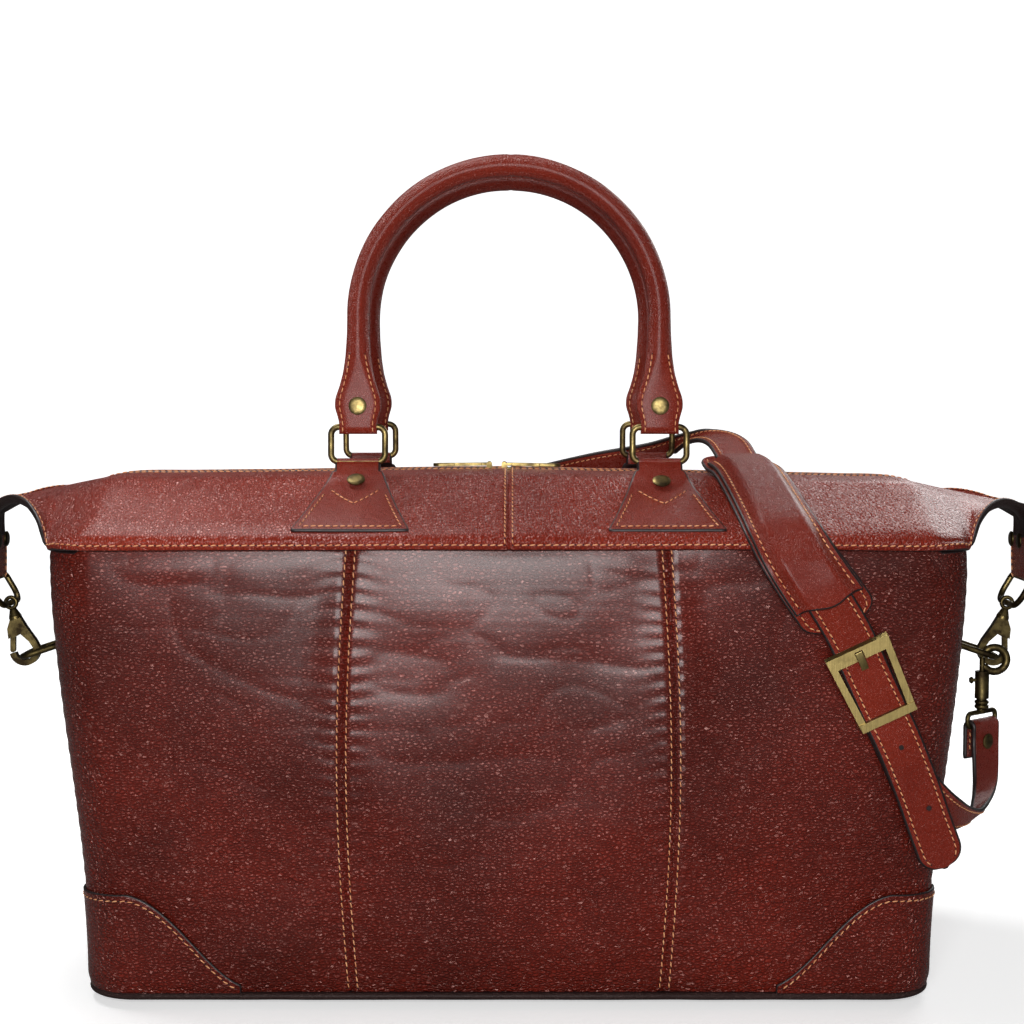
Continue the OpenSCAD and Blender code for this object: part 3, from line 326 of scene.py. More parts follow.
def copies(shape, centres, axes, sizes, number):
    """One mesh part with a copy of a shape at each centre, turned to axes and scaled by sizes."""
    P, faces = shape
    placed = centres[:, None] + np.einsum("pk,nkx->npx", P * sizes, axes)
    shift = np.arange(len(centres))[:, None, None] * len(P)
    parts = [(None, (f[None] + shift).reshape(-1, f.shape[1]), number) for f in faces]
    return [(placed.reshape(-1, 3), parts[0][1], number), *parts[1:]]


def stitches(line, pitch=None, ends=(0, 0), lean=0.16, sink=0.25):
    """Stitches spaced evenly along a line of points and normals, with the needle's hole between
    each drawn as a flat dark dish of painted shade.

    Each stitch is a bead two thirds of the pitch long, leaning a little across the line."""
    path, up = line
    pitch = pitch or form().pitch
    s = np.concatenate([[0], np.cumsum(np.linalg.norm(np.diff(path, axis=0), axis=1))])
    run = s[-1] - ends[0] - ends[1]
    count = int(run / pitch)
    if count < 1:
        return []
    step = run / count

    def place(t):
        p = np.stack([np.interp(t, s, path[:, k]) for k in range(3)], -1)
        q = np.stack([np.interp(t + 1e-4, s, path[:, k]) for k in range(3)], -1)
        r = np.stack([np.interp(t - 1e-4, s, path[:, k]) for k in range(3)], -1)
        n = unit(np.stack([np.interp(t, s, up[:, k]) for k in range(3)], -1))
        along = unit(q - r)
        side = unit(np.cross(n, along))
        return p, n, along, side

    p, n, along, side = place(ends[0] + (np.arange(count) + 0.5) * step)
    w = form().thread
    lay = unit(along + lean * side)
    axes = np.stack([lay, np.cross(n, lay), n], 1)
    centres = p + n * w * (0.5 - sink)
    made = copies(bead(6, 4), centres, axes, np.array([0.37 * step, w / 2, w / 2]), THREAD)
    p, n, along, side = place(ends[0] + np.arange(count + 1) * step)
    axes = np.stack([along, side, n], 1)
    # each hole between stitches is a flat dark dish of painted shade
    hole_shades = copies(bead(6, 2), p, axes, np.array([0.55, 0.45, 0.1]) * MM, HOLE_SHADE)
    return made + hole_shades


CLOSE_PITCH = 4.2 * MM             # stitches on straps, patches, tabs and pad


def seams(P, edges, inset, ends, pitch=CLOSE_PITCH):
    """Rows of stitches inside some edges of a grid, each left out for a length at its ends."""
    return sum((stitches(inside(P, e, inset), pitch, (ends, ends)) for e in edges), [])


def piece(name, parts, materials, body="bag", replaces=(), smooth=True):
    """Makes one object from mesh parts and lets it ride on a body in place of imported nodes."""
    points, faces, numbers, base, total = [], [], [], 0, 0
    for P, F, number in parts:
        if P is not None:
            base = total
            points.append(P)
            total += len(P)
        faces += (F + base).tolist()
        numbers += [number] * len(F)
    mesh = bpy.data.meshes.new(name)
    mesh.from_pydata(np.concatenate(points).tolist(), [], faces)
    mesh.polygons.foreach_set("material_index", numbers)
    mesh.polygons.foreach_set("use_smooth", [smooth] * len(faces))
    for m in materials:
        mesh.materials.append(m)
    mesh.update()
    made = bpy.data.objects.new(name, mesh)
    bpy.context.scene.collection.objects.link(made)
    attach(made, body)
    if replaces:
        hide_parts(*([replaces] if isinstance(replaces, str) else replaces))
    return made


# ---- materials -------------------------------------------------------------------------


def node(tree, kind, sockets=(), **settings):
    """A shader node: sockets sets values or links by name or number, settings its properties."""
    made = tree.nodes.new(kind)
    for key, value in settings.items():
        setattr(made, key, value)
    for key, value in dict(sockets).items():
        if isinstance(value, bpy.types.NodeSocket):
            tree.links.new(value, made.inputs[key])
        else:
            made.inputs[key].default_value = value
    return made


def fresh(name):
    """An empty material, its tree, its Object coordinates and its shader."""
    made = bpy.data.materials.new(name)
    made.use_nodes = True
    tree = made.node_tree
    tree.nodes.clear()
    shader = node(tree, "ShaderNodeBsdfPrincipled")
    end = node(tree, "ShaderNodeOutputMaterial")
    tree.links.new(shader.outputs[0], end.inputs[0])
    place = node(tree, "ShaderNodeTexCoord").outputs["Object"]
    return made, tree, place, shader


def maths(tree, operation, a, b):
    return node(tree, "ShaderNodeMath", {0: a, 1: b}, operation=operation).outputs[0]


def between(tree, factor, low, high):
    """A colour between two, as (r, g, b) or sockets."""
    as_colour = [c if isinstance(c, bpy.types.NodeSocket) else (*c, 1) for c in (low, high)]
    sockets = {0: factor, 6: as_colour[0], 7: as_colour[1]}
    return node(tree, "ShaderNodeMix", sockets, data_type="RGBA").outputs[2]


def ramp(tree, value, low, high, a=0.0, b=1.0):
    """Value carried from the range low to high onto a to b."""
    return node(tree, "ShaderNodeMapRange", {0: value, 1: low, 2: high, 3: a, 4: b}).outputs[0]


def stretched(tree, place, scale):
    return node(tree, "ShaderNodeMapping", {0: place, 3: scale}, vector_type="POINT").outputs[0]


def clouds(tree, place, scale, detail=2.0, **more):
    """A noise texture about 1 / scale metres large; more sets its other sockets."""
    sockets = {"Vector": place, "Scale": scale, "Detail": detail, **more}
    return node(tree, "ShaderNodeTexNoise", sockets)


def paint(tree, shader, **sockets):
    """Links or sets the shader's sockets, named with _ for each space."""
    for name, value in sockets.items():
        socket = shader.inputs[name.replace("_", " ")]
        if isinstance(value, bpy.types.NodeSocket):
            tree.links.new(value, socket)
        else:
            socket.default_value = value


def raised(tree, height, strength, distance):
    """Normals of a bumpy surface whose height runs from 0 to 1 over a distance."""
    sockets = {"Strength": strength, "Distance": distance, "Height": height}
    return node(tree, "ShaderNodeBump", sockets).outputs[0]


GLOSS_TINT = (1.0, 0.64, 0.58, 1)
COAT_TINT = (1.0, 0.8, 0.75, 1)


def leather(name, light, dark, grain, gloss, coat, flow, depth):
    """Leather: pebbles from cells, fine flowing wrinkles, folds, mottled dye and a waxed gloss; its
    pebbles' valleys and fold lines are darkened as painted shade.
    """
    made, tree, place, shader = fresh(name)
    drift = clouds(tree, place, 130).outputs[1]
    bent = node(tree, "ShaderNodeMix", {0: 0.0016, 4: place, 5: drift},
                data_type="VECTOR").outputs[1]
    pebbles = node(tree, "ShaderNodeTexVoronoi",
                   {"Vector": stretched(tree, bent, flow), "Scale": 620 / grain},
                   feature="DISTANCE_TO_EDGE").outputs[0]
    cell = ramp(tree, pebbles, 0.0, 0.25)
    drawn = stretched(tree, place, tuple(1.4 * f for f in flow))
    wrinkles = clouds(tree, drawn, 260 / grain, 5.0, Roughness=0.62, Distortion=0.9).outputs[0]
    folds = clouds(tree, stretched(tree, place, flow), 34, 3.0, Distortion=1.2).outputs[0]
    ridge = maths(tree, "ABSOLUTE", maths(tree, "SUBTRACT", folds, 0.5), 0.0)
    fold = ramp(tree, ridge, 0.0, 0.05)
    dye = clouds(tree, place, 9, 4.0, Roughness=0.55).outputs[0]
    tone = between(tree, ramp(tree, dye, 0.32, 0.68), dark, light)
    # painted shade: the pebbles' valleys darken towards 0.45 of the dark tone, and the fold lines
    # towards the dark tone
    valley_shade = tuple(0.45 * np.array(dark))
    valley_shaded = between(tree, ramp(tree, cell, 0.0, 1.0, 0.55, 1.0), valley_shade, tone)
    valley_shaded = between(tree, ramp(tree, fold, 0.0, 1.0, 0.75, 1.0), dark, valley_shaded)
    height = maths(tree, "MULTIPLY", cell, 0.7)
    height = maths(tree, "ADD", height, maths(tree, "MULTIPLY", wrinkles, 0.8))
    height = maths(tree, "ADD", height, maths(tree, "MULTIPLY", fold, 0.5))
    rough = ramp(tree, wrinkles, 0.3, 0.7, gloss - 0.06, gloss + 0.1)
    paint(tree, shader, Base_Color=valley_shaded, Roughness=rough, Coat_Weight=coat, Coat_Roughness=0.22,
          Normal=raised(tree, height, min(1.0, 0.9 * depth), 0.0011), Specular_IOR_Level=0.5,
          Specular_Tint=GLOSS_TINT, Coat_Tint=COAT_TINT)
    return made


@functools.cache
def painted_edge():
    """Edge paint: dark, a little uneven, half glossy."""
    made, tree, place, shader = fresh("edge paint")
    lumps = clouds(tree, place, 420, 3.0).outputs[0]
    dark = tuple(tones().edge)
    paint(tree, shader, Base_Color=between(tree, lumps, tuple(0.6 * np.array(dark)), dark),
          Roughness=ramp(tree, lumps, 0.3, 0.7, 0.4, 0.6), Normal=raised(tree, lumps, 0.3, 0.0003))
    return made


@functools.cache
def thread():
    """Waxed thread: pale with an orange tinge, twisted, darker where the wax gathers dirt."""
    made, tree, place, shader = fresh("waxed thread")
    pale = np.array(tones().thread)
    dirt = clouds(tree, place, 90, 3.0).outputs[0]
    twist = node(tree, "ShaderNodeTexWave", {"Vector": place, "Scale": 900, "Distortion": 2.0},
                 bands_direction="DIAGONAL").outputs[1]
    soiled = tuple(pale * np.array([0.72, 0.5, 0.42]))
    paint(tree, shader, Base_Color=between(tree, ramp(tree, dirt, 0.3, 0.7), soiled, tuple(pale)),
          Normal=raised(tree, twist, 0.4, 0.0002), Roughness=0.6)
    return made


@functools.cache
def needle_hole_shade():
    """Painted shade standing for the dark inside of a hole, near black with faint speckles."""
    made, tree, place, shader = fresh("needle hole shade")
    shade_speckle = clouds(tree, place, 800).outputs[0]
    paint(tree, shader, Base_Color=between(tree, shade_speckle, (0.004, 0.002, 0.002), (0.02, 0.008, 0.007)),
          Roughness=0.9)
    return made


def metal(name, bright, dark, brushed=(1, 1, 1), rough=0.34, patina=0.5, scratch=0.3):
    """Aged brass: bright metal with brown patina in blotches, fine scratches along the brushing."""
    made, tree, place, shader = fresh(name)
    blotch = clouds(tree, place, 110, 5.0, Roughness=0.6).outputs[0]
    lines = clouds(tree, stretched(tree, place, brushed), 900).outputs[0]
    age = ramp(tree, blotch, patina - 0.16, patina + 0.2)
    dull = ramp(tree, age, 0.0, 1.0, rough + 0.16, rough)
    paint(tree, shader, Base_Color=between(tree, age, dark, bright),
          Roughness=maths(tree, "ADD", dull, maths(tree, "MULTIPLY", lines, 0.12)),
          Normal=raised(tree, maths(tree, "ADD", lines, blotch), scratch, 0.0002), Metallic=1.0)
    return made


def woven(name, light, dark, size=0.0012):
    """Woven tape: crossed ribs of yarn in two tones."""
    made, tree, place, shader = fresh(name)
    yarn = {"Vector": place, "Scale": 1 / (6.28 * size), "Distortion": 0.4}
    ribs = [node(tree, "ShaderNodeTexWave", yarn, bands_direction=way).outputs[1]
            for way in ("X", "Y")]
    weave = maths(tree, "MULTIPLY", *ribs)
    paint(tree, shader, Base_Color=between(tree, weave, dark, light), Roughness=0.8,
          Normal=raised(tree, weave, 0.6, 0.0003), Sheen_Weight=0.2)
    return made


@functools.cache
def body_leather():
    return leather("pebbled leather", tuple(tones().leather), tuple(tones().shade),
                   1.5, 0.25, 0.32, (0.75, 0.75, 1.3), 1.1)


@functools.cache
def yoke_leather():
    return leather("yoke leather", tuple(tones().smooth), tuple(tones().leather),
                   1.3, 0.28, 0.12, (1.2, 0.7, 0.7), 0.8)


@functools.cache
def strap_leather():
    return leather("strap leather", tuple(tones().smooth), tuple(tones().leather),
                   0.55, 0.28, 0.12, (1, 1, 1), 0.7)


@functools.cache
def lining():
    dark = np.array(tones().edge)
    return leather("dark flesh side", tuple(1.3 * dark), tuple(0.7 * dark),
                   0.7, 0.55, 0.05, (1, 1, 1), 0.6)


def suit(face):
    """The materials of a leather piece: face, edge, back, thread and the painted shade of the holes
    the needle made.
    """
    return [face, painted_edge(), lining(), thread(), needle_hole_shade()]


# ---- form of the body ------------------------------------------------------------------


def rise(z):
    """Share of the way up a wall."""
    f = form()
    return np.clip((z - f.wall_low) / (f.hem - f.wall_low), 0, 1)


def half_width(z):
    return mix(form().base_width / 2, form().top_width / 2, ease(rise(z)))


def seam_place(z):
    """Place of the front seam: its distance bows out by 6 mm at mid height."""
    return (form().seam + 6 * MM * np.sin(np.pi * rise(z))) / (half_width(z) - form().corner)


def wall(q, z):
    """The outside at place q and height z.

    q runs from -1 to 1 along the front, to 2 round the corner and to 4 along the right side.
    The front bellies out by a cosine across and a sine upwards, and the gusset tucks in."""
    f = form()
    k, m, R = half_width(z) - f.corner, f.depth / 2 - f.corner, f.corner
    belly = f.belly * np.cos(np.pi / 2 * q) * np.sin(np.pi * rise(z))
    tuck = f.tuck * np.cos(np.pi / 2 * (q - 3)) * ease((z - f.hem * 0.45) / (f.hem * 0.4))
    a = np.pi / 2 * (q - 1)
    front = np.stack([q * k, -m - R - belly, z], -1)
    corner = np.stack([k + R * np.sin(a), -m - R * np.cos(a), z], -1)
    side = np.stack([k + R - tuck, (q - 3) * m, z], -1)
    return np.where((q <= 1)[..., None], front, np.where((q <= 2)[..., None], corner, side))


def crest(q):
    """Height of the walls' upper edge: under the hem in front and under the yoke at the sides."""
    f = form()
    q = np.where(q > 3, 6 - q, q)
    share = np.interp(q, [1, 1.2, 1.9, 2, 2.1, 2.25, 2.5, 3],
                      [0.02, -0.12, -0.1, -0.06, 0.13, 0.41, 0.65, 0.72])
    return f.hem + (f.ridge - f.hem) * share


def relief(P, seed=0, slump=1.0):
    """Height of the soft shape in a leather wall: long waves, short puckers and a few creases."""
    f = form()
    waves = noise(P, np.array([0.11, 0.2, 0.075]), seed)
    waves = waves + 0.5 * noise(P, np.array([0.05, 0.1, 0.035]), seed + 1)
    lines = creases(P, (0.07, 0.08, 0.03), seed + 2)
    lines = lines + 0.6 * creases(P, (0.035, 0.05, 0.018), seed + 3)
    return f.slump * slump * (0.5 * waves - 0.12 * lines)


def across_places(z, edges, columns):
    """Columns spaced evenly from the first edge to the last, each edge a function of height."""
    s = np.linspace(0, 1, columns)
    stops = np.linspace(0, 1, len(edges))
    values = np.stack([e(z) if callable(e) else np.full_like(z, e) for e in edges], -1)
    k = np.minimum((s * (len(edges) - 1)).astype(int), len(edges) - 2)
    f = (s - stops[k]) * (len(edges) - 1)
    return values[..., k] * (1 - f) + values[..., k + 1] * f


SAG_ROWS, SAG_COLUMNS = 44, 32     # points of the coarse cloth
SAG_START = 0.4 * MM               # unevenness that the cloth starts with
SAG_SLACK = 0.004                  # share by which the leather is larger than its frame
SAG_FRAMES = 18
SAG_SMOOTHING = 8                  # times that each point moves to the mean of its four neighbours
SAG_SHARE = 0.5                    # share of the cloth's movement that stiff leather follows
SAG_LIMIT = 4.5 * MM


def sagged(P):
    """How far leather sewn round the edge of a grid moves under its own weight, in metres.

    A coarse copy of the grid, a little larger than its frame, hangs as cloth with its edges
    pinned. Its movement is measured along the normals, smoothed, scaled, limited and made fine
    again."""
    i = np.linspace(0, P.shape[0] - 1, SAG_ROWS).round().astype(int)
    j = np.linspace(0, P.shape[1] - 1, SAG_COLUMNS).round().astype(int)
    G = P[np.ix_(i, j)]
    start = G + normals(G) * (SAG_START * noise(G, 0.045, 77))[..., None]
    mesh = bpy.data.meshes.new("sag")
    ids = np.arange(G.shape[0] * G.shape[1]).reshape(G.shape[:2])
    mesh.from_pydata(start.reshape(-1, 3).tolist(), [], cells(ids).tolist())
    made = bpy.data.objects.new("sag", mesh)
    bpy.context.scene.collection.objects.link(made)
    pins = made.vertex_groups.new(name="sewn")
    pins.add(np.concatenate([ids[0], ids[-1], ids[:, 0], ids[:, -1]]).tolist(), 1.0, "REPLACE")
    cloth = made.modifiers.new("cloth", "CLOTH").settings
    cloth.vertex_group_mass = "sewn"
    cloth.quality = 6
    cloth.mass = 1.2
    cloth.tension_stiffness = cloth.compression_stiffness = 30
    cloth.shear_stiffness = 15
    cloth.bending_stiffness = 30
    cloth.shrink_min = -SAG_SLACK
    cloth.use_pressure = False
    for k in range(1, SAG_FRAMES + 1):
        bpy.context.scene.frame_set(k)
    shown = made.evaluated_get(bpy.context.evaluated_depsgraph_get())
    end = np.empty(G.size)
    shown.to_mesh().vertices.foreach_get("co", end)
    shown.to_mesh_clear()
    bpy.context.scene.frame_set(1)
    bpy.data.objects.remove(made)
    bpy.data.meshes.remove(mesh)
    move = np.nan_to_num(np.sum((end.reshape(G.shape) - G) * normals(G), -1))
    for _ in range(SAG_SMOOTHING):
        edged = np.pad(move, 1, mode="edge")
        move = (edged[:-2, 1:-1] + edged[2:, 1:-1] + edged[1:-1, :-2] + edged[1:-1, 2:]) / 4
    move = np.clip(SAG_SHARE * move, -SAG_LIMIT, SAG_LIMIT)
    fine = refine(move, 4, 4)
    u = np.linspace(0, fine.shape[0] - 1, P.shape[0]).round().astype(int)
    v = np.linspace(0, fine.shape[1] - 1, P.shape[1]).round().astype(int)
    return fine[np.ix_(u, v)]


def wall_panel(edges, columns, sx, sy, rows=130):
    """One panel of the body, crowned between its seams, as a grid from foot to top."""
    f = form()
    flat = np.linspace(f.wall_low, f.hem, rows)
    q = across_places(flat, edges, columns)
    t = np.linspace(0, 1, rows)[:, None]
    z = mix(f.wall_low, crest(np.maximum(q, 1)), t)
    P = mirrored(wall(q, z)[:, ::-1], sx, sy)
    N = normals(P)
    run = np.cumsum(np.linalg.norm(np.diff(P, axis=1), axis=-1), axis=1)
    run = np.concatenate([np.zeros((rows, 1)), run], axis=1)
    gap = np.minimum(run, run[:, -1:] - run)
    pull = -1.5 * MM * bump_at(gap, 2 * MM) - 0.35 * MM * bump_at(gap - 3 * MM, 0.8 * MM)
    crown = 1.1 * MM * np.sin(np.pi * np.clip(gap / (55 * MM), 0, 0.5)) - 0.4 * MM
    beat = z * 2 * np.pi / (9.2 * MM) + 6 * noise(P, 0.05, 9)
    pucker = 0.25 * MM * bump_at(gap, 14 * MM) * np.sin(beat)
    roll = -2.2 * MM * bump_at(z - f.wall_low, 5 * MM) - 0.8 * MM * bump_at(z - f.hem, 6 * MM)
    calm = ease(gap / (25 * MM)) * ease((z - f.wall_low) / (30 * MM))
    calm = calm * ease((f.hem + 4 * MM - z) / (22 * MM))
    lift = pull + crown * calm + pucker * ease((z - f.wall_low) / (12 * MM)) + roll
    lift = lift + relief(P) * calm
    lift = lift + sagged(P) * calm
    return P + N * lift[..., None]


def corner_line(share):
    """Upper edge of a corner patch at each share of its reach, from its tip to the corner."""
    return form().wall_low + 3 * MM + 57 * MM * (0.16 * share + 0.84 * ease(0.12 + 0.88 * share))


class BAG_OT_walls(bpy.types.Operator):
    """Sew the front, rear and side walls with their seams"""

    bl_idname = "bag.walls"
    bl_label = "Walls"

    def execute(self, context):
        seam = seam_place
        for sy, face in ((1, "front"), (-1, "rear")):
            P = wall_panel([lambda z: -seam(z), seam], 110, 1, sy)
            piece(f"{face}_centre_leather",
                  sheet(P, form().panel) + seams(P, (2, 3), 3 * MM, 2 * MM, form().pitch),
                  suit(body_leather()), replaces=f"{face}_panel_centre")
            for sx, side in ((1, "right"), (-1, "left")):
                thirds = [lambda z: mix(seam(z), 1, 1 / 3), lambda z: mix(seam(z), 1, 2 / 3)]
                edges = [seam, *thirds, 1, 2]
                P = wall_panel(edges, 121, sx, sy)
                near = 3 if sx * sy > 0 else 2
                piece(f"{face}_{side}_leather",
                      sheet(P, form().panel) + seams(P, [near], 3 * MM, 2 * MM, form().pitch),
                      suit(body_leather()), replaces=f"{face}_panel_{side}")
        for sx, side in ((1, "right"), (-1, "left")):
            P = wall_panel([2.018, 3.982], 100, sx, 1)
            piece(f"gusset_{side}_leather", sheet(P, form().panel), suit(body_leather()),
                  replaces=f"gusset_{side}")
        return {"FINISHED"}


class BAG_OT_corner_patches(bpy.types.Operator):
    """Sew the curved patches over the lower corners"""

    bl_idname = "bag.corner_patches"
    bl_label = "Corner patches"

    def execute(self, context):
        f = form()
        reach = 66 * MM
        share = np.linspace(0, 1, 40)
        front = 1 - reach * (1 - share) / (f.base_width / 2 - f.corner)
        turn = np.linspace(0, 1, 26)[1:]
        q = np.concatenate([front, 1 + turn])
        fall = 2 * MM * np.sin(turn * np.pi / 4)
        top = np.concatenate([corner_line(share), corner_line(1.0) - fall])
        t = np.linspace(0, 1, 26)[:, None]
        z = mix(f.wall_low, top, t)
        flat = wall(q * np.ones_like(t), z)[:, ::-1]
        parts = []
        for sx, sy in itertools.product((1, -1), repeat=2):
            P = mirrored(flat, sx, sy)
            lift = 2.0 * MM - 1.6 * MM * bump_at(z - f.wall_low, 4 * MM)
            lift = lift[:, ::-1] if sx * sy > 0 else lift
            P = P + normals(P) * (lift + 0.3 * MM * noise(P, 0.03, 3))[..., None]
            parts += sheet(P, 1.7 * MM) + seams(P, [1], 3 * MM, 3 * MM, f.pitch)
        piece("corner_patch_leather", parts, suit(body_leather()), replaces="corner_patches")
        return {"FINISHED"}


# ---- yoke ------------------------------------------------------------------------------

ZIP_MEET = -8 * MM
FALL_RIGHT = math.tan(math.radians(1.2))
FALL_LEFT = math.tan(math.radians(0.7))


def ridge_at(x):
    """Height of the ridge, which falls to each side of where the sliders meet."""
    return form().ridge - np.abs(x - ZIP_MEET) * np.where(x > ZIP_MEET, FALL_RIGHT, FALL_LEFT)


def yoke_profile(r):
    """Points (y, z) from the hem to the zip, for a ridge at height r."""
    f = form()
    d, h, face = f.depth / 2, f.hem, -f.depth / 2 - f.yoke - 0.3 * MM
    y = [face, face, -d + 4 * MM, -0.75 * d, -0.52 * d, -0.42 * d, -0.25 * d, -7.5 * MM]
    z = [h - 2 * MM, h + 3 * MM, h + 9 * MM, mix(h, r, 0.54), r - 5.5 * MM, r - 1.5 * MM, r, r]
    return np.stack([np.array(y), np.array(z)], -1)


def yoke_grid(side):
    """The front yoke from the middle out to the wing: profiles along the bag, then sections
    drawn from its free edge, a quadratic curve that rises over the wing, to its ridge line."""
    f = form()
    body_end = f.top_width / 2 - f.corner
    wing = top_of("yoke_front").x
    bend, low, half_wing = 18 * MM, f.hem - 13 * MM, 21 * MM
    rows = [np.insert(yoke_profile(ridge_at(side * x)), 0, x, axis=1)
            for x in np.linspace(0, body_end, 8)]
    r0 = ridge_at(side * body_end)
    r = f.corner + f.yoke + 0.3 * MM
    c = np.array([body_end, -f.depth / 2 + f.corner])
    turn = [[c[0] + r * math.sin(a), c[1] - r * math.cos(a), f.hem - 2 * MM]
            for a in np.radians([0, 22, 44, 64])]
    a = np.array(turn[3])
    m = np.array([wing - 47 * MM, -82 * MM, r0 + 5 * MM])
    w = np.array([wing - MM, -half_wing, r0 - 22 * MM])
    rise_over = [(1 - t) ** 2 * a + 2 * t * (1 - t) * m + t * t * w for t in np.arange(7) / 6]
    free = [*map(np.array, turn[:3]), *rise_over, np.array([wing, -half_wing, low])]
    x1 = wing - bend + bend * math.cos(math.radians(78))
    z1 = r0 - 34 * MM + bend * math.sin(math.radians(78))
    top = [[mix(body_end, x1, k / 5), mix(r0, z1, k / 5)] for k in range(5)]
    top += [[wing - bend + bend * math.cos(v), r0 - 34 * MM + bend * math.sin(v)]
            for v in np.radians(78 + (5 - 78) * np.arange(5) / 4)] + [[wing, low]]
    shape = yoke_profile(f.ridge)
    n = len(shape) - 1
    gap = 7.5 * MM
    for k in range(1, len(free)):
        y_end = mix(-gap, -0.4 * MM, float(ease(k / 3)))
        u, j = k / 10, np.arange(n + 1) / n
        across = mix((shape[:, 0] - shape[0, 0]) / (shape[n, 0] - shape[0, 0]), j, u)
        up = mix((shape[:, 1] - shape[0, 1]) / (shape[n, 1] - shape[0, 1]), j, u)
        rows.append(np.stack([mix(free[k][0], top[k][0], across), mix(free[k][1], y_end, across),
                              mix(free[k][2], top[k][1], up)], -1))
    return np.array(rows)


class BAG_OT_yoke(bpy.types.Operator):
    """Drape the yoke from the hem over the shoulders to the zip and the wings"""

    bl_idname = "bag.yoke"
    bl_label = "Yoke and wings"

    def execute(self, context):
        f = form()
        for sy, face in ((1, "front"), (-1, "rear")):
            parts = []
            for sx in (1, -1):
                P = mirrored(refine(yoke_grid(sx), 9, 7), sx, sy)
                inner_first = sx * sy > 0
                x, z = np.abs(P[..., 0]), P[..., 2]
                N = normals(P)
                hem_gap = inside_distance(P, 2 if inner_first else 3)
                fold = 0.9 * MM * bump_at(hem_gap - 2.2 * MM, 2.4 * MM)
                fold = fold - 0.5 * MM * bump_at(hem_gap - 5.6 * MM, 1.6 * MM)
                seam = -1.2 * MM * bump_at(x, 1.6 * MM) + 0.5 * MM * bump_at(x - 2.6 * MM, 1.4 * MM)
                calm = ease(hem_gap / (14 * MM)) * ease(x / (14 * MM))
                calm = calm * ease((f.ridge + 20 * MM - z) / (24 * MM))
                calm = calm * ease((f.top_width / 2 + 52 * MM - x) / (30 * MM))
                soft = relief(P, 20, 0.55) * calm
                wave = 0.7 * MM * noise(P, 0.06, 31) * bump_at(hem_gap, 10 * MM)
                wave = wave * ease((f.top_width / 2 - x) / (30 * MM))
                P = P + N * (fold + seam + soft)[..., None]
                P = P + np.array([0, 0, 1.0]) * wave[..., None]
                parts += sheet(P, f.yoke)
                hem_edge, zip_edge = (2, 3) if inner_first else (3, 2)
                straight = int(P.shape[0] * 0.47)
                line = inside(P, hem_edge, 3 * MM)
                parts += stitches((line[0][: straight * 2], line[1][: straight * 2]),
                                  ends=(3 * MM, 2 * MM))
                line = inside(P, zip_edge, 3 * MM)
                parts += stitches((line[0][:straight], line[1][:straight]), CLOSE_PITCH,
                                  (4 * MM, 2 * MM))
                parts += seams(P, [0], 2.8 * MM, 3 * MM, f.pitch)
            piece(f"{face}_yoke_leather", parts, suit(yoke_leather()), replaces=f"yoke_{face}")
        return {"FINISHED"}


def inside_distance(P, edge):
    """Distance of each point of a grid from one edge, along its rows or columns."""
    axis = 1 if edge > 1 else 0
    step = np.linalg.norm(np.diff(P, axis=axis), axis=-1)
    zero = np.zeros_like(np.take(step, [0], axis=axis))
    if edge in (0, 2):
        return np.concatenate([zero, np.cumsum(step, axis=axis)], axis=axis)
    back = np.flip(np.cumsum(np.flip(step, axis), axis=axis), axis)
    return np.concatenate([back, zero], axis=axis)


# ---- bands of leather ------------------------------------------------------------------


def band(path, across, width, t, columns=11, crown=0.0, lift=0.0):
    """The outer face of a band along a path: width across it, crowned by the fourth power."""
    T = unit(np.gradient(path, axis=0))
    side = unit(np.broadcast_to(across, path.shape))
    up = unit(np.cross(T, side))
    s = np.linspace(-1, 1, columns)
    half = np.broadcast_to(width, len(path))[:, None] / 2
    height = t / 2 + lift + (crown * (1 - s**4) if np.ndim(lift) < 2 else 0)
    height = np.broadcast_to(height, (len(path), columns))
    return path[:, None] + side[:, None] * (half * s)[..., None] + up[:, None] * height[..., None]


def arc(centre, radius, start, end, n=13):
    """Points (a, b) of an arc between two angles in degrees."""
    t = np.radians(np.linspace(start, end, n))
    return np.array(centre) + radius * np.stack([np.cos(t), np.sin(t)], -1)


RING_Y, HANDLE_X, LEAN = 53 * MM, 95 * MM, math.radians(4)
WIRE = 4 * MM
LOOP = 3.4 * MM                    # middle of a leather loop's thickness, from the wire's centre
LOOP_T = 2.2 * MM


def ring_low():
    """Height of the centre of the handle rings' lower wire."""
    return low_of("front_rings").z + WIRE / 2


def patch_grid(x0):
    """A handle patch's middle line, from its foot up the yoke's slope and over the ring's wire,
    and its width along it, flared like a bell."""
    f = form()
    r = float(ridge_at(x0))
    lift = 2.9 * MM
    d = f.depth / 2
    slope = yoke_profile(r)

    def over(y):
        return [-y, np.interp(-y, slope[:, 0], slope[:, 1]) + lift]

    loop = arc((-RING_Y, ring_low()), LOOP, 180, 0)
    rest = np.array([[-RING_Y + LOOP, r + lift - 0.6 * MM]])
    start = np.array([over(d - 3 * MM), over(0.86 * d), over(0.75 * d), over(0.64 * d),
                      [-0.52 * d - MM, r - 2.3 * MM]])
    flat = refine(np.concatenate([start, loop, rest]), 4)
    line = even(np.insert(flat, 0, x0, axis=1), 90)
    s = np.linspace(0, 1, 90)
    height = np.clip((line[:, 2] - line[0, 2]) / (ring_low() - line[0, 2]), 0, 1)
    flare = np.where(s < 0.75, (1 - height) ** 1.25, 0)
    return line, mix(26 * MM, 69 * MM, flare)


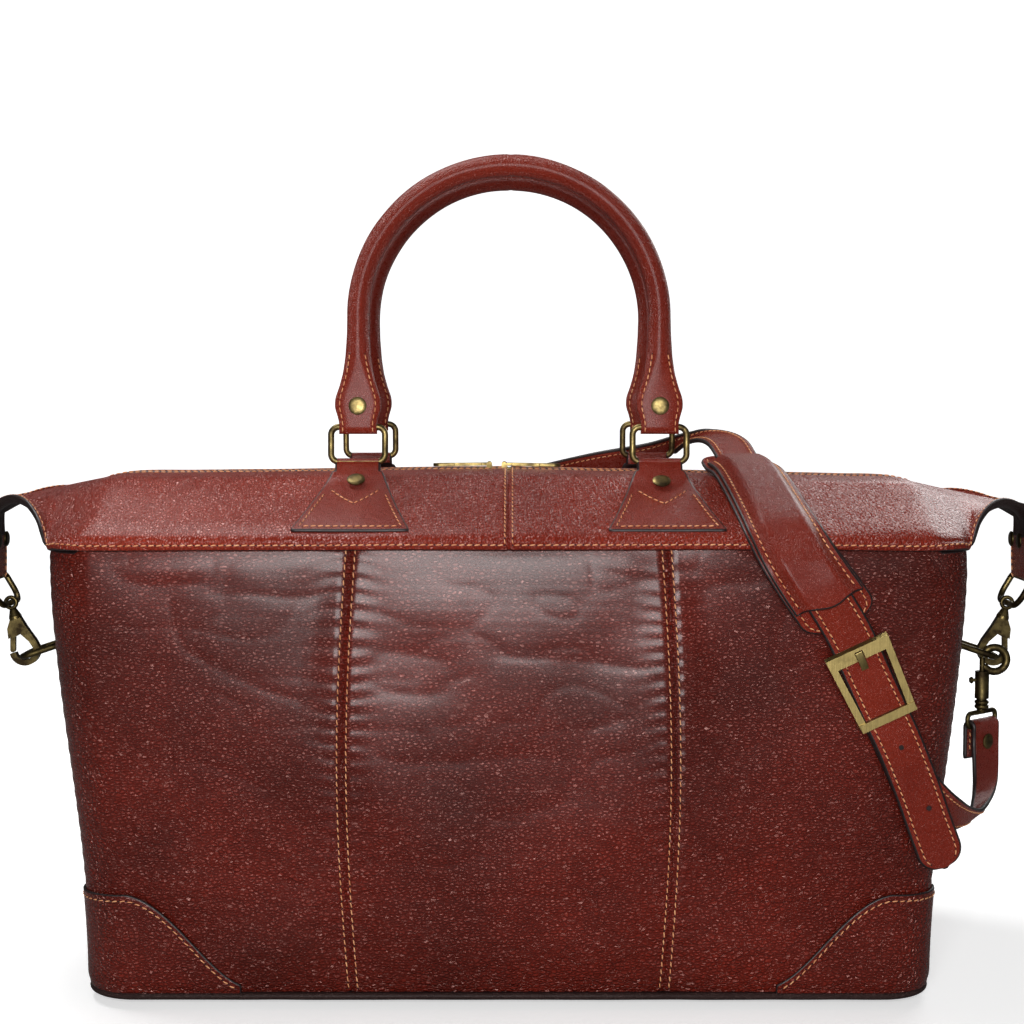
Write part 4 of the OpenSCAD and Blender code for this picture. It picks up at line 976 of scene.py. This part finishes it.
class BAG_OT_handle_patches(bpy.types.Operator):
    """Sew the flared patches that hold the handle rings"""

    bl_idname = "bag.handle_patches"
    bl_label = "Handle patches"

    def execute(self, context):
        for sy, face in ((1, "front"), (-1, "rear")):
            parts = []
            for sx in (1, -1):
                line, width = patch_grid(sx * HANDLE_X)
                P = band(line, (1.0, 0, 0), width, LOOP_T, 31)
                P = mirrored(P[:, ::-1] if normals(P)[10, 15, 1] > 0 else P, 1, sy)
                P = P + normals(P) * (0.25 * MM * noise(P, 0.02, 12))[..., None]
                parts += sheet(P, LOOP_T * 1.15)
                for e in (2, 3):
                    parts += stitches(inside(P, e, 3 * MM), CLOSE_PITCH, (3 * MM, 46 * MM))
                parts += seams(P, [0], 3 * MM, 5 * MM)
                for end in (0.14, 0.86):
                    v = np.linspace(end, 0.5, 20)
                    u = np.linspace(0.53, 0.34, 20)
                    parts += stitches(at(P, u, v), CLOSE_PITCH)
            piece(f"{face}_patch_leather", parts, suit(strap_leather()),
                  replaces=f"handle_patches_{face}")
        return {"FINISHED"}


def leaning(P, sy):
    """Points drawn upright over the rings' lower wire, leaned inward about it on side sy."""
    c, s = math.cos(LEAN), math.sin(LEAN)
    x, y, z = P[..., 0], P[..., 1], P[..., 2]
    return np.stack([x, sy * (-RING_Y + y * c + z * s), ring_low() - y * s + z * c], -1)


EYE = 22 * MM                      # height of the rings' upper wire over the lower
LEG = 92 * MM                      # height at which the grip's arch begins
FOLD_OUT = LOOP + LOOP_T / 2       # outside of the leather folded round a ring's wire


class BAG_OT_handles(bpy.types.Operator):
    """Roll the two handles, with flat stitched ends folded round the rings"""

    bl_idname = "bag.handles"
    bl_label = "Handles"

    def execute(self, context):
        bend = EYE - FOLD_OUT * np.cos(np.linspace(0.12, np.pi / 2, 12))[:-1]
        leg = np.concatenate([bend, np.linspace(EYE, LEG, 50)[:-1]])
        a = np.linspace(np.pi, 0, 120)
        path = np.concatenate([
            np.stack([np.full(len(leg), -HANDLE_X), 0 * leg, leg], -1),
            np.stack([HANDLE_X * np.cos(a), 0 * a, LEG + HANDLE_X * np.sin(a)], -1),
            np.stack([np.full(len(leg), HANDLE_X), 0 * leg, leg[::-1]], -1)])
        h = np.where(np.abs(path[:, 0]) > HANDLE_X - 1e-6, path[:, 2], LEG) / MM
        half = np.interp(h, [17, 24, 29, 34, 40, 47, 56, 66, 80, 92],
                         [12.2, 11.9, 13.2, 14.9, 14.7, 12.2, 9.8, 8.4, 7.4, 7.1]) * MM
        depth = np.interp(h, [22, 44, 56, 68, 80], [4.5, 4.5, 5.6, 7.0, 7.1]) * MM
        below = np.minimum(h * MM - EYE, 0)
        depth = np.where(below < 0, np.sqrt(FOLD_OUT**2 - below**2), depth)
        power = np.interp(h, [25, 44, 66], [4.0, 3.6, 2.0])
        blur = np.array([1, 4, 6, 4, 1]) / 16
        half, depth, power = (np.concatenate([k[:2], np.convolve(k, blur, "valid"), k[-2:]])
                              for k in (half, depth, power))
        for sy, face in ((1, "front"), (-1, "rear")):
            across = unit(np.cross(np.gradient(path, axis=0), [0, 1.0, 0]))
            R = rings(path, across, half, depth, 40, power)
            seam = -0.5 * MM * bump_at(np.arange(40), 0.9)
            out = unit(R - path[:, None])
            soft = 0.16 * MM * noise(R, 0.02, 4) + 0.3 * MM * noise(R, 0.06, 8)
            R = R + out * (soft + seam)[..., None]
            mark = bump_at(path[:, 0] - 2 * MM, 1.1 * MM) * (path[:, 2] > LEG)
            R = R - out * (0.55 * MM * mark[:, None])[..., None]
            R = leaning(R, sy)
            if sy < 0:
                R = R[:, ::-1]
            parts = tube(R)
            for rows in (slice(4, 44), slice(-44, -4)):
                for j in (6, 14, 26, 34):
                    line = R[rows, j]
                    parts += stitches((line, unit(line - leaning(path, sy)[rows])), 4 * MM)
            piece(f"{face}_handle_leather", parts, suit(strap_leather()), body=f"{face}_handle",
                  replaces=f"{face}_handle")
        return {"FINISHED"}


class BAG_OT_wing_tabs(bpy.types.Operator):
    """Fold the tabs at the wings and the loops on the gussets round their rings"""

    bl_idname = "bag.wing_tabs"
    bl_label = "Wing tabs and side loops"

    def execute(self, context):
        f = form()
        t = 2.5 * MM
        wing = top_of("wing_tab_right").x
        r = WIRE / 2 + 0.3 * MM + t / 2
        cx, cz = wing - r - t / 2, f.hem - 30 * MM
        flat = np.concatenate([[[cx - r, f.hem - 4 * MM], [cx - r, cz + 8 * MM]],
                               arc((cx, cz), r, 180, 360), [[cx + r, f.hem - 14 * MM]]])
        flat = even(flat, 60)
        line = np.stack([flat[:, 0], 0 * flat[:, 0], flat[:, 1]], -1)
        s = np.linspace(0, 1, 60)
        width = 40 * MM - 3.5 * MM * bump_at(s - 0.56, 0.2)
        for sx, side in ((1, "right"), (-1, "left")):
            P = band(line, (0, 1.0, 0), width, t, 21)
            P = P[:, ::-1] if np.mean(normals(P)[50, :, 0]) < 0 else P
            P = mirrored(P, sx, 1)
            P = P + normals(P) * (0.25 * MM * noise(P, 0.015, 15))[..., None]
            piece(f"wing_tab_{side}_leather", sheet(P, t) + seams(P, (2, 3), 2.6 * MM, 2 * MM),
                  suit(strap_leather()), replaces=f"wing_tab_{side}")
        ring = low_of("side_ring_right")
        rx, rz = ring.x + WIRE / 2, 216 * MM
        x0 = rx - LOOP
        flat = np.concatenate([[[x0, rz - 16 * MM]], arc((rx, rz), LOOP, 180, -50),
                               [[x0 + LOOP_T + 0.3 * MM, rz - drop * MM] for drop in (8, 16)]])
        flat = even(refine(flat, 3), 60)
        line = np.stack([flat[:, 0], 0 * flat[:, 0], flat[:, 1]], -1)
        parts = []
        for sx in (1, -1):
            P = band(line, (0, 1.0, 0), 22 * MM, LOOP_T, 13)
            P = P[:, ::-1] if np.mean(normals(P)[30, :, 2]) < 0 else P
            P = mirrored(P, sx, 1)
            parts += sheet(P, LOOP_T) + seams(P, (2, 3), 2.4 * MM, 2 * MM)
        piece("side_loop_leather", parts, suit(strap_leather()), replaces="side_loops")
        return {"FINISHED"}


# ---- shoulder strap --------------------------------------------------------------------

# Stations of the strap: a point in millimetres and the direction across the strap there. REAR runs
# from the left snap behind the bag and over its top, PAD down the front under the pad.
REAR = [
    [-281, 92, 219, -0.1, 0, 1], [-275, 109, 221, 0, 0, 1], [-262, 122, 224, 0, 0, 1],
    [-240, 127, 229, -0.2, 0, 1], [-150, 129, 252, -0.3, 0, 1], [-60, 129, 281, -0.3, 0, 1],
    [0, 121, 300, -0.3, -0.1, 1], [32, 109, 309, -0.3, -0.3, 1], [64, 94, 319, -0.2, -0.6, 0.8],
    [96, 81, 328, 0, -0.8, 0.6], [118, 63, 337, 0.35, -0.75, 0.5],
    [134, 35, 342, 0.75, -0.55, 0.25], [144, 4, 339, 1, -0.15, 0.05]]
PAD = [
    [149, -28, 327, 1, 0.1, 0], [152, -52, 324, 1, 0.12, 0], [156, -78, 314, 1, 0.15, 0.03],
    [160, -101, 303, 1, 0.15, 0.08], [164, -122, 291.5, 1, 0.12, 0.16],
    [171, -132.5, 276.5, 1, 0.05, 0.26], [180, -136, 262, 1, 0, 0.36], [189, -137, 249, 1, 0, 0.42]]
BUCKLE = np.array([223.0, -135, 182])
BUCKLE_LEAN = math.radians(25)
BUCKLE_UP = np.array([-math.sin(BUCKLE_LEAN), 0, math.cos(BUCKLE_LEAN)])
BUCKLE_ACROSS = np.array([math.cos(BUCKLE_LEAN), 0, math.sin(BUCKLE_LEAN)])
STRAP_W, STRAP_T, SEAT = 25.0, 3.0, 0.3
BAR = 1.6                          # radius of the bars that the straps fold over, in millimetres
FOLD = BAR + SEAT + STRAP_T / 2
EYE_TURN = math.radians(40)


def on_buckle(v, lift=0.0):
    """A strap station in the buckle's plane, v above its lower bar and lifted towards the front."""
    return [*(BUCKLE + v * BUCKLE_UP + np.array([0, -lift, 0])), *BUCKLE_ACROSS]


def folded(bar, along, out, across, tail):
    """Stations of a strap folded round a bar: in along the tail, half a turn, and out again."""
    bar, along, out = map(np.array, (bar, along, out))
    into = [[*(bar + tail * (1 - k) * along - FOLD * out), *across] for k in (0, 0.5)]
    turn = [[*(bar - FOLD * (math.cos(a) * out + math.sin(a) * along)), *across]
            for a in np.radians(np.arange(0, 181, 30))]
    return into + turn + [[*(bar + tail * 0.6 * along + FOLD * out), *across]]


def strap_grid(stations, n, width=STRAP_W, t=STRAP_T, crown=0.25, tip=0.0, lift=0.0, columns=17):
    """A strap through its stations, refined by smooth curves and spaced evenly.

    tip is the radius of its round end: the half width follows a circle over the last stretch."""
    fine = even(refine(np.array(stations, float), 8), n) * np.array([MM, MM, MM, 1, 1, 1])
    path, across = fine[:, :3], unit(fine[:, 3:])
    s = np.concatenate([[0], np.cumsum(np.linalg.norm(np.diff(path, axis=0), axis=1))])
    w = np.full(n, width * MM)
    if tip:
        back = np.clip(1 - (s[-1] - s) / (tip * MM), 0, 0.985)
        w = w * np.sqrt(1 - back**2.4)
    return band(path, across, w, t * MM, columns, crown * MM, lift * MM)


def strap_hole_shade(spot, normal, radius):
    """A punched hole: a dark dish of painted shade in the surface."""
    side = unit(np.cross(normal, [0.3, 1.0, 0.2]))
    axes = np.stack([side, np.cross(normal, side), normal])[None]
    return copies(bead(16, 5), np.array([spot]), axes, np.array([radius, radius, 0.12 * MM]), HOLE_SHADE)


class BAG_OT_strap(bpy.types.Operator):
    """Lay the shoulder strap, its buckle end and its short strap, edge-painted and stitched"""

    bl_idname = "bag.strap"
    bl_label = "Shoulder strap"

    def execute(self, context):
        tail = [on_buckle(52), on_buckle(24), on_buckle(0), on_buckle(-20),
                [242.5, -131, 138, 0.92, 0, 0.4], [250, -129, 118, 0.92, 0, 0.4],
                [256.5, -128, 101, 0.92, 0, 0.4], [261, -128, 89.5, 0.92, 0, 0.4]]
        tilt = left_tilt()
        left_across = [math.cos(tilt), 0, math.sin(tilt)]
        left_out = [math.sin(tilt), 0, -math.cos(tilt)]
        lo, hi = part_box("snap_eye_left")
        left_bar = [(lo.x + hi.x) / 2 / MM, hi.y / MM - BAR, (lo.z + hi.z) / 2 / MM]
        left = folded(left_bar, (0, 1, 0), left_out, left_across, 24)
        P = strap_grid(left + REAR + PAD + tail, 620, tip=12)
        parts = sheet(P, STRAP_T * MM, (OUT, RIM, OUT))
        for e in (2, 3):
            parts += stitches(inside(P, e, 2.6 * MM), CLOSE_PITCH, (4 * MM, 9 * MM))
        parts += seams(P, [1], 2.6 * MM, 4 * MM)
        out = np.array([0, -1.0, 0])
        # the punched holes are dark dishes of painted shade
        for v in (-61, -21, 57):
            spot = (BUCKLE + v * BUCKLE_UP) * MM + out * (STRAP_T / 2 + 0.3) * MM
            parts += strap_hole_shade(spot, out, 1.5 * MM)
        piece("strap_long_leather", parts, suit(strap_leather()), replaces="strap_long")

        bar_lift = -(STRAP_T + SEAT + FOLD)
        turn = [on_buckle(FOLD * math.cos(a), bar_lift - FOLD * math.sin(a))
                for a in np.radians(np.arange(-90, 91, 30))]
        lo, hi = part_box("snap_eye_right")
        across = [math.cos(EYE_TURN), math.sin(EYE_TURN), 0]
        outward = [-math.sin(EYE_TURN), math.cos(EYE_TURN), 0]
        right_bar = [(lo.x + hi.x) / 2 / MM, (lo.y + hi.y) / 2 / MM, lo.z / MM + BAR]
        right = folded(right_bar, (0, 0, -1), -np.array(outward), across, 20)[::-1]
        middle = [on_buckle(-12, bar_lift - FOLD), on_buckle(-30, bar_lift - FOLD),
                  [243, -125.5, 139, 0.9, 0.05, 0.42], [257, -122, 124, 0.85, 0.25, 0.45],
                  [275, -103, 113, 0.6, 0.65, 0.3], [292, -74, 108, 0.55, 0.75, 0.1],
                  [305, -42, 111, 0.65, 0.72, 0], [312, -22, 119, 0.72, 0.68, 0]]
        P = strap_grid(turn + middle + right, 260)
        parts = sheet(P, STRAP_T * MM, (OUT, RIM, OUT)) + seams(P, (2, 3), 2.6 * MM, 4 * MM)
        piece("strap_short_leather", parts, suit(strap_leather()), replaces="strap_short")
        return {"FINISHED"}


def left_tilt():
    """Lean of the left snap: a right angle more than the slope of the side ring it hooks."""
    lo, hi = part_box("side_ring_right")
    return math.pi / 2 + math.atan2(hi.z - lo.z - WIRE, hi.x - lo.x - WIRE)


class BAG_OT_shoulder_pad(bpy.types.Operator):
    """Stuff the shoulder pad: a lobed base and a top layer that sleeves the strap"""

    bl_idname = "bag.shoulder_pad"
    bl_label = "Shoulder pad"

    def execute(self, context):
        t, w = 2.4, 44.0
        lift = (STRAP_T + t) / 2 + 3 * SEAT
        start = refine(np.array(REAR[-2:] + PAD[:2], float), 2)[3].tolist()
        far = [[193, -136.1, 243, 1, 0, 0.43], [195.6, -135.6, 238.5, 1, 0, 0.44],
               [198.2, -135, 234, 1, 0, 0.45]]
        P = strap_grid([start] + PAD + far, 150, w, t, 0.2, 12, -lift, 33)
        P = lobed(P, 9 * MM)
        base = piece("shoulder_pad_base_leather", sheet(P, t * MM), suit(strap_leather()),
                     replaces="shoulder_pad_base")
        rows = seams(P, (2, 3), 3 * MM, 8 * MM) + seams(P, [1], 3 * MM, 3 * MM)
        piece("shoulder_pad_base_stitches", rows, suit(strap_leather()))

        s = np.linspace(-1, 1, 33)
        drop = ease((np.abs(s) - 0.55) / 0.4)
        fine = even(refine(np.array(PAD, float), 8), 130) * np.array([MM, MM, MM, 1, 1, 1])
        path, across = fine[:, :3], unit(fine[:, 3:])
        height = np.repeat(mix(lift + 0.9, -lift + t + 0.25, drop)[None], 130, axis=0)
        P = band(path, across, 41 * MM, t * MM, 33, 0, height * MM)
        P = P + normals(P) * (0.35 * MM * noise(P, 0.03, 41))[..., None]
        cut = unit(path[-1] - path[-3])
        wave = (1.6 * MM * np.cos(s * 4.2) * ease((np.arange(130) - 100) / 29)[:, None])
        P = P + cut * wave[..., None]
        top = piece("shoulder_pad_top_leather", sheet(P, t * MM), suit(strap_leather()),
                    replaces="shoulder_pad_top")
        piece("shoulder_pad_top_stitches", seams(P, (2, 3), 3 * MM, 3 * MM), suit(strap_leather()))
        return {"FINISHED"}


def lobed(P, radius):
    """Rounds the corners at the first rows of a grid: its half width follows a circle there."""
    middle = P[:, P.shape[1] // 2][:, None]
    d = inside_distance(P, 0)[:, P.shape[1] // 2]
    back = np.clip(1 - d / radius, 0, 0.98)
    half = np.linalg.norm(P[:, :1] - middle, axis=-1)[:, 0]
    share = 1 - (radius / np.maximum(half, 1e-6)) * (1 - np.sqrt(1 - back**2))
    return middle + (P - middle) * share[:, None, None]


# ---- base and hardware -----------------------------------------------------------------


class BAG_OT_base(bpy.types.Operator):
    """Lay the piping round the base panel"""

    bl_idname = "bag.base"
    bl_label = "Base"

    def execute(self, context):
        f = form()
        lo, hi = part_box("base_piping")
        z = (lo.z + hi.z) / 2
        r = (hi.z - lo.z) / 2
        x, y, R = hi.x - r - f.corner, hi.y - r - f.corner, f.corner
        a = np.linspace(0, 2 * np.pi, 240, endpoint=False) + 1e-3
        outline = np.stack([x * np.sign(np.cos(a)) + R * np.cos(a),
                            y * np.sign(np.sin(a)) + R * np.sin(a), z + 0 * a], -1)
        line = even(np.concatenate([outline, outline[:1]]), 421)[:-1]
        along = unit(np.roll(line, -1, 0) - np.roll(line, 1, 0))
        outward = unit(np.cross(along, [0, 0, 1.0]))[:, None]
        t = np.linspace(0, 2 * np.pi, 16, endpoint=False)[:, None]
        P = line[:, None] + r * (np.cos(t) * outward + np.sin(t) * np.array([0, 0, -1.0]))
        P = P + unit(P - line[:, None]) * (0.15 * MM * noise(P, 0.02, 2))[..., None]
        piece("base_piping_leather", ring_tube(P), [lining()], replaces="base_piping")
        return {"FINISHED"}


BRIGHT_METAL = ("zip_teeth_front", "zip_teeth_rear")
BRUSHED = ("buckle_frame", "buckle_tongue")
CORNER_ANGLE = math.radians(40)    # edges sharper than this are rounded


class BAG_OT_hardware(bpy.types.Operator):
    """Round the metal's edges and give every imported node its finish"""

    bl_idname = "bag.hardware"
    bl_label = "Metal and inner parts"

    def execute(self, context):
        c = tones()
        brass = metal("aged brass", tuple(c.brass), tuple(c.patina))
        dark = metal("dark aged brass", tuple(0.62 * np.array(c.brass)),
                     tuple(0.6 * np.array(c.patina)), rough=0.3, patina=0.54)
        brushed = metal("brushed brass", tuple(1.05 * np.array(c.brass)),
                        tuple(0.62 * np.array(c.brass)), (1, 1, 0.06), 0.3, 0.42, 0.35)
        gold = metal("zip brass", tuple(c.gold), tuple(0.5 * np.array(c.gold)), rough=0.36)
        tape = woven("zip tape", (0.09, 0.035, 0.026), (0.03, 0.012, 0.01))
        board = woven("base board", (0.06, 0.04, 0.03), (0.035, 0.022, 0.016), 0.003)
        core = woven("grip cord", (0.5, 0.36, 0.22), (0.3, 0.2, 0.12), 0.002)
        for name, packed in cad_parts.items():
            if packed.hide_render:
                continue
            finish = brass
            if name in BRIGHT_METAL:
                finish = gold
            elif name in BRUSHED:
                finish = brushed
            elif name == "zip_tapes":
                finish = tape
            elif name == "base_board":
                finish = board
            elif name.endswith("_core"):
                finish = core
            elif name == "base_panel":
                finish = body_leather()
            elif name.startswith(("trigger", "bolt", "snap", "side_ring", "wing")):
                finish = dark
            packed.data.materials.clear()
            packed.data.materials.append(finish)
            if finish in (tape, board, core) or name == "base_panel":
                continue
            weld = packed.modifiers.new("weld", "WELD")
            weld.merge_threshold = 1e-6
            if name not in BRIGHT_METAL:
                bevel = packed.modifiers.new("bevel", "BEVEL")
                bevel.width = (0.6 if name in BRUSHED else 0.35) * MM
                bevel.segments = 2
                bevel.limit_method = "ANGLE"
                bevel.angle_limit = CORNER_ANGLE
                bevel.harden_normals = False
                packed.data.polygons.foreach_set("use_smooth", [True] * len(packed.data.polygons))
                normal = packed.modifiers.new("normals", "WEIGHTED_NORMAL")
                normal.keep_sharp = False
        return {"FINISHED"}


# ---- stage -----------------------------------------------------------------------------


def softbox(name, place, target, size, watts):
    """A square area lamp at a place, turned to a target."""
    lamp = bpy.data.lights.new(name, "AREA")
    lamp.shape = "SQUARE"
    lamp.size = size
    lamp.energy = watts
    made = bpy.data.objects.new(name, lamp)
    bpy.context.scene.collection.objects.link(made)
    made.location = place
    away = np.array(target) - np.array(place)
    made.rotation_euler = Vector(away).to_track_quat("-Z", "Y").to_euler()
    return made


def backdrop_material():
    """White card: dim to the lamps' other rays, and to the camera as bright as the background.

    Near the bag it glows less, so that the bag's shadow shows."""
    made, tree, place, shader = fresh("white card")
    rays = node(tree, "ShaderNodeLightPath").outputs[0]
    paint(tree, shader, Base_Color=between(tree, rays, (0.22, 0.22, 0.22), (0.9, 0.9, 0.9)),
          Roughness=0.9)
    away = node(tree, "ShaderNodeVectorMath", {0: place}, operation="LENGTH").outputs[1]
    shown = maths(tree, "MULTIPLY", rays, ramp(tree, away, 0.35, 1.4, 0.45, 0.86))
    glow = node(tree, "ShaderNodeEmission", {0: (1, 1, 1, 1), 1: shown})
    both = node(tree, "ShaderNodeAddShader", {0: shader.outputs[0], 1: glow.outputs[0]})
    end = next(n for n in tree.nodes if n.type == "OUTPUT_MATERIAL")
    tree.links.new(both.outputs[0], end.inputs[0])
    return made


LENS = 64.0                        # focal length in millimetres, on a sensor 36 wide
CAMERA_PLACE = (0.002, -1.2, 0.373)
CAMERA_DROP = math.radians(3.8)    # how far the camera looks down
LAMP_TARGET = (0, 0, 0.2)
LAMPS = (                          # name, place, size and watts
    ("key", (-0.12, -1.9, 0.54), 0.72, 34),
    ("fill", (1.4, -1.2, 0.8), 1.0, 1.5),
    ("top", (-0.5, 0.3, 1.6), 0.8, 20),
    ("rear", (0.9, 1.2, 1.0), 0.8, 8))
AMBIENT = 0.05                     # the world's light; the camera sees it at strength 1


class BAG_OT_stage(bpy.types.Operator):
    """Set up the camera, lamps, floor and backdrop"""

    bl_idname = "bag.stage"
    bl_label = "Stage"

    def execute(self, context):
        scene = context.scene
        lens = bpy.data.cameras.new("camera")
        lens.lens = LENS
        lens.sensor_width = 36
        camera = bpy.data.objects.new("camera", lens)
        scene.collection.objects.link(camera)
        camera.location = CAMERA_PLACE
        camera.rotation_euler = (math.pi / 2 - CAMERA_DROP, 0, 0)
        scene.camera = camera
        scene.view_settings.view_transform = "Standard"

        u = np.linspace(0, 1, 60)[:, None]
        bend = np.clip((u - 0.5) / 0.25, 0, 1) * np.pi / 2
        y = np.interp(u, [0, 0.5], [-3.0, 1.6]) + 0.8 * np.sin(bend)
        z = 0.8 * (1 - np.cos(bend)) + 2.4 * np.clip((u - 0.75) / 0.25, 0, 1)
        P = np.stack(np.broadcast_arrays(np.linspace(3.5, -3.5, 20), y, z), -1)
        ids = np.arange(P[..., 0].size).reshape(P.shape[:2])
        mesh = bpy.data.meshes.new("backdrop")
        mesh.from_pydata(P.reshape(-1, 3).tolist(), [], cells(ids).tolist())
        mesh.polygons.foreach_set("use_smooth", [True] * len(mesh.polygons))
        mesh.materials.append(backdrop_material())
        card = bpy.data.objects.new("backdrop", mesh)
        scene.collection.objects.link(card)

        for name, place, size, watts in LAMPS:
            softbox(name, place, LAMP_TARGET, size, watts)

        world = bpy.data.worlds.new("studio")
        scene.world = world
        world.use_nodes = True
        tree = world.node_tree
        tree.nodes.clear()
        rays = node(tree, "ShaderNodeLightPath").outputs[0]
        strength = ramp(tree, rays, 0.0, 1.0, AMBIENT, 1.0)
        sky = node(tree, "ShaderNodeBackground", {0: (1, 1, 1, 1), 1: strength})
        end = node(tree, "ShaderNodeOutputWorld")
        tree.links.new(sky.outputs[0], end.inputs[0])
        return {"FINISHED"}


# ---- panel, registering and the run ----------------------------------------------------

OPERATORS = (BAG_OT_stage, BAG_OT_strap, BAG_OT_shoulder_pad, BAG_OT_walls, BAG_OT_corner_patches,
             BAG_OT_yoke, BAG_OT_handle_patches, BAG_OT_handles, BAG_OT_wing_tabs, BAG_OT_base,
             BAG_OT_hardware)


class BAG_PT_pieces(bpy.types.Panel):
    """Lists the bag's pieces and settings"""

    bl_idname = "BAG_PT_pieces"
    bl_label = "Weekender bag"
    bl_space_type = "VIEW_3D"
    bl_region_type = "UI"
    bl_category = "Bag"

    def draw(self, context):
        for made in OPERATORS:
            self.layout.operator(made.bl_idname)
        for group in (context.scene.bag_form, context.scene.bag_colours):
            for name in group.bl_rna.properties.keys():
                if name not in ("rna_type", "name"):
                    self.layout.prop(group, name)


CLASSES = (BagForm, BagColours, *OPERATORS, BAG_PT_pieces)


def register():
    for made in CLASSES:
        bpy.utils.register_class(made)
    bpy.types.Scene.bag_form = PointerProperty(type=BagForm)
    bpy.types.Scene.bag_colours = PointerProperty(type=BagColours)


def unregister():
    del bpy.types.Scene.bag_colours
    del bpy.types.Scene.bag_form
    for made in reversed(CLASSES):
        bpy.utils.unregister_class(made)


def main():
    register()
    for made in OPERATORS:
        group, name = made.bl_idname.split(".")
        getattr(getattr(bpy.ops, group), name)()


if __name__ == "__main__":
    main()
